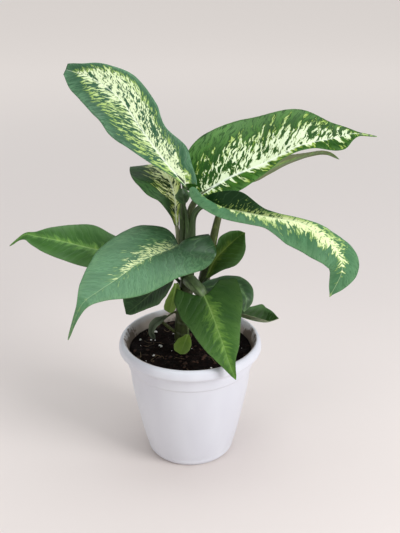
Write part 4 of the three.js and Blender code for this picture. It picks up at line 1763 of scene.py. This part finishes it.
@dataclass
class Soil:
    """The potting mix, crumbly on top, with perlite, bark chips and root fibres. Millimetres."""

    edge_z: float = 119
    crown_z: float = 123.5
    radius: float = 63.8
    shoulder_z: float = 108
    wall_inset: float = 2.4
    foot_radius: float = 43
    bottom_z: float = 3.4
    rings: int = 70
    segments: int = 190
    perlite: int = 34
    chips: int = 260
    fibres: int = 34
    seed: int = 5
    finish: SoilFinish = field(default_factory=SoilFinish)

    def top(self, x: float, y: float) -> float:
        """Height of the crumbly surface at a place."""
        share = clamp(math.hypot(x, y) / self.radius)
        base = self.crown_z + (self.edge_z - self.crown_z) * share**1.3
        lump = noise.noise(Vector((x / 9, y / 9, 0.3))) * 0.9
        crumb = abs(noise.noise(Vector((x / 3.4, y / 3.4, 4.1)))) * 1.5
        fine = noise.noise(Vector((x / 1.5, y / 1.5, 8.7))) * 0.45
        return base + (lump + crumb + fine - 0.7) * (1 - 0.5 * share**8)

    def body(self) -> bpy.types.Object:
        """The mix itself: a section spun round the axis, with its top crumbled."""
        bm = bmesh.new()
        outline = [(0, self.crown_z)]
        outline += [(self.radius * ring / self.rings, self.edge_z) for ring in range(1, self.rings + 1)]
        outline.append((self.radius - 0.6, self.shoulder_z))
        outline += [(radius - self.wall_inset, height) for radius, height, _ in reversed(TAPER)]
        outline += [(self.foot_radius, self.bottom_z), (0, self.bottom_z)]
        section(bm, outline)
        spin(bm, self.segments)
        for vert in bm.verts:
            if vert.co.z > (self.edge_z - 1) * MM:
                vert.co.z = self.top(vert.co.x / MM, vert.co.y / MM) * MM
        return finish_piece("soil_finished", bm, [self.finish.mix()], "potting_mix", ["potting_soil"])

    def spots(self, count: int, rng: random.Random, sink: float) -> Iterable[Vector]:
        """Random places on the surface.

        Args:
            count: how many.
            rng: the source of chance.
            sink: how deep the middle of each bit lies, in millimetres.

        Yields:
            Points in millimetres.
        """
        for _ in range(count):
            angle, reach = rng.uniform(0, math.tau), math.sqrt(rng.random()) * (self.radius - 2)
            x, y = reach * math.cos(angle), reach * math.sin(angle)
            yield Vector((x, y, self.top(x, y) - sink))

    def grains(
        self,
        name: str,
        count: int,
        sizes: tuple[float, float],
        flat: float,
        colour: Colour,
        spread: float,
    ) -> bpy.types.Object:
        """Loose bits: icospheres pulled out of shape.

        Args:
            name: the piece's name.
            count: how many.
            sizes: smallest and largest radius, in millimetres.
            flat: height as a share of the width.
            colour: the middle colour.
            spread: how much darker the dark ones are.

        Returns:
            The piece.
        """
        rng = random.Random(f"{self.seed}{name}")
        bm = bmesh.new()
        for spot in self.spots(count, rng, sizes[0] * 0.2):
            size = sizes[0] + (sizes[1] - sizes[0]) * rng.random() ** 2
            made = bmesh.ops.create_icosphere(bm, subdivisions=1 if size < 1 else 2, radius=1)["verts"]
            stretch = Vector((rng.uniform(0.7, 1.5), rng.uniform(0.6, 1), flat * rng.uniform(0.7, 1.2)))
            heading = Matrix.Rotation(rng.uniform(0, math.tau), 3, "Z")
            turn = heading @ Matrix.Rotation(rng.gauss(0, 0.35), 3, "X")
            key = rng.uniform(0, 50)
            for vert in made:
                rough = 1 + 0.5 * noise.noise(vert.co * 1.1 + Vector((key, 0, 0)))
                shaped = turn @ (vert.co * stretch) * (rough * size)
                vert.co = (shaped + spot) * MM
        material = self.finish.bits(name, colour, spread)
        return finish_piece(name, bm, [material], "potting_mix")

    def roots(self) -> bpy.types.Object:
        """Fine root fibres that lie on the mix in loose curls."""
        rng = random.Random(self.seed + 3)
        bm = bmesh.new()
        for spot in self.spots(self.fibres, rng, -0.3):
            heading, bend = rng.uniform(0, math.tau), rng.gauss(0, 0.5)
            points, here = [], Vector(spot)
            for _ in range(6):
                here = here + Vector((math.cos(heading), math.sin(heading), 0)) * rng.uniform(1.5, 3.6)
                heading += bend + rng.gauss(0, 0.3)
                if here.xy.length > self.radius - 2:
                    break
                points.append(Vector((here.x, here.y, self.top(here.x, here.y) + rng.uniform(0.0, 0.7))))
            if len(points) > 2:
                thickness = rng.uniform(0.14, 0.3)
                tube(bm, Path(points), lambda angle, share: thickness, 5, 12)
        material = self.finish.bits("root_fibres", self.finish.fibre, 0.5)
        return finish_piece("root_fibres", bm, [material], "potting_mix")

    def build(self) -> None:
        """Makes the mix and everything that lies in it."""
        look = self.finish
        self.body()
        self.grains("perlite", self.perlite, (0.5, 2.1), 0.8, look.perlite, 0.25)
        self.grains("bark_chips", self.chips, (0.5, 2.6), 0.4, look.bark, 0.8)
        self.roots()


# ---------------------------------------------------------------- studio


@dataclass
class Lamp:
    """A soft square lamp that looks at a point. Metres."""

    name: str
    place: Point
    target: Point
    size: float
    power: float
    colour: Colour = (1.0, 1.0, 1.0)

    def build(self) -> None:
        """Hangs the lamp."""
        data = bpy.data.lights.new(self.name, "AREA")
        data.shape = "SQUARE"
        data.size = self.size
        data.energy = self.power
        data.color = self.colour
        made = bpy.data.objects.new(self.name, data)
        made.location = self.place
        aim = Vector(self.target) - Vector(self.place)
        made.rotation_euler = aim.to_track_quat("-Z", "Y").to_euler()
        bpy.context.scene.collection.objects.link(made)


@dataclass
class Studio:
    """A plain pale floor all round, soft lamps and the camera. Metres."""

    near_floor: Colour = (0.76, 0.69, 0.655)
    far_floor: Colour = (0.66, 0.61, 0.585)
    glow: Colour = (0.42, 0.39, 0.365)
    air: Colour = (0.93, 0.95, 0.98)
    air_strength: float = 0.4
    reach: float = 7.0
    camera_place: Point = (0.0103, -0.7682, 0.5495)
    camera_dip: float = 23.7
    lens: float = 56.06
    lamps: tuple[Lamp, ...] = (
        Lamp("window", (1.35, -0.85, 0.95), (0, 0, 0.2), 0.8, 24, (0.97, 0.98, 1.0)),
        Lamp("ceiling", (-0.1, 0.25, 1.7), (0, 0, 0.2), 1.3, 13, (0.93, 0.97, 1.0)),
        Lamp("room", (-1.3, -1.2, 0.9), (0, 0, 0.2), 1.4, 8, (1.0, 0.98, 0.95)),
    )

    def ground(self) -> None:
        """Lays a round floor that glows a little far out, so that it stays pale all round."""
        bm = bmesh.new()
        bmesh.ops.create_circle(bm, cap_ends=True, segments=96, radius=self.reach)
        mesh = bpy.data.meshes.new("floor")
        bm.to_mesh(mesh)
        bm.free()
        made = bpy.data.objects.new("floor", mesh)
        bpy.context.scene.collection.objects.link(made)
        sh = Shader("floor_paint", Roughness=0.75, **{"Emission Strength": 1.0})
        x, y, _ = sh.parts(sh.place())
        away = (x * x + y * y) ** 0.5
        sh.feed("Base Color", sh.mix(self.near_floor, self.far_floor, away.step(0.2, 1.6)))
        sh.feed("Emission Color", sh.mix((0.0, 0.0, 0.0), self.glow, away.step(0.45, 2.4) ** 0.7))
        mesh.materials.append(sh.material)
        made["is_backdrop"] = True

    def view(self) -> None:
        """Sets up the camera."""
        data = bpy.data.cameras.new("camera")
        data.sensor_fit = "VERTICAL"
        data.sensor_height = 36
        data.lens = self.lens
        made = bpy.data.objects.new("camera", data)
        made.location = self.camera_place
        made.rotation_euler = (math.radians(90 - self.camera_dip), 0, 0)
        bpy.context.scene.collection.objects.link(made)
        bpy.context.scene.camera = made

    def build(self) -> None:
        """Makes the studio."""
        self.ground()
        for lamp in self.lamps:
            lamp.build()
        self.view()
        world = bpy.data.worlds.new("studio_air")
        world.use_nodes = True
        background = world.node_tree.nodes["Background"]
        background.inputs["Color"].default_value = (*self.air, 1)
        background.inputs["Strength"].default_value = self.air_strength
        bpy.context.scene.world = world
        bpy.context.scene.view_settings.view_transform = "Standard"


# ---------------------------------------------------------------- all of it


def main() -> None:
    """Builds the plant in its pot, then the studio round it."""
    logging.basicConfig(level=logging.INFO, format="%(message)s")
    soil = Soil()
    Pot().build(soil.edge_z)
    soil.build()
    for stem in STEMS:
        stem.build()
    for leaf in LEAVES:
        leaf.build()
    Studio().build()
    boxes = {"cad": CAD_BOX, "visual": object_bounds()}
    sizes = {name: [[float(part) for part in corner] for corner in box] for name, box in boxes.items()}


if __name__ == "__main__":
    main()
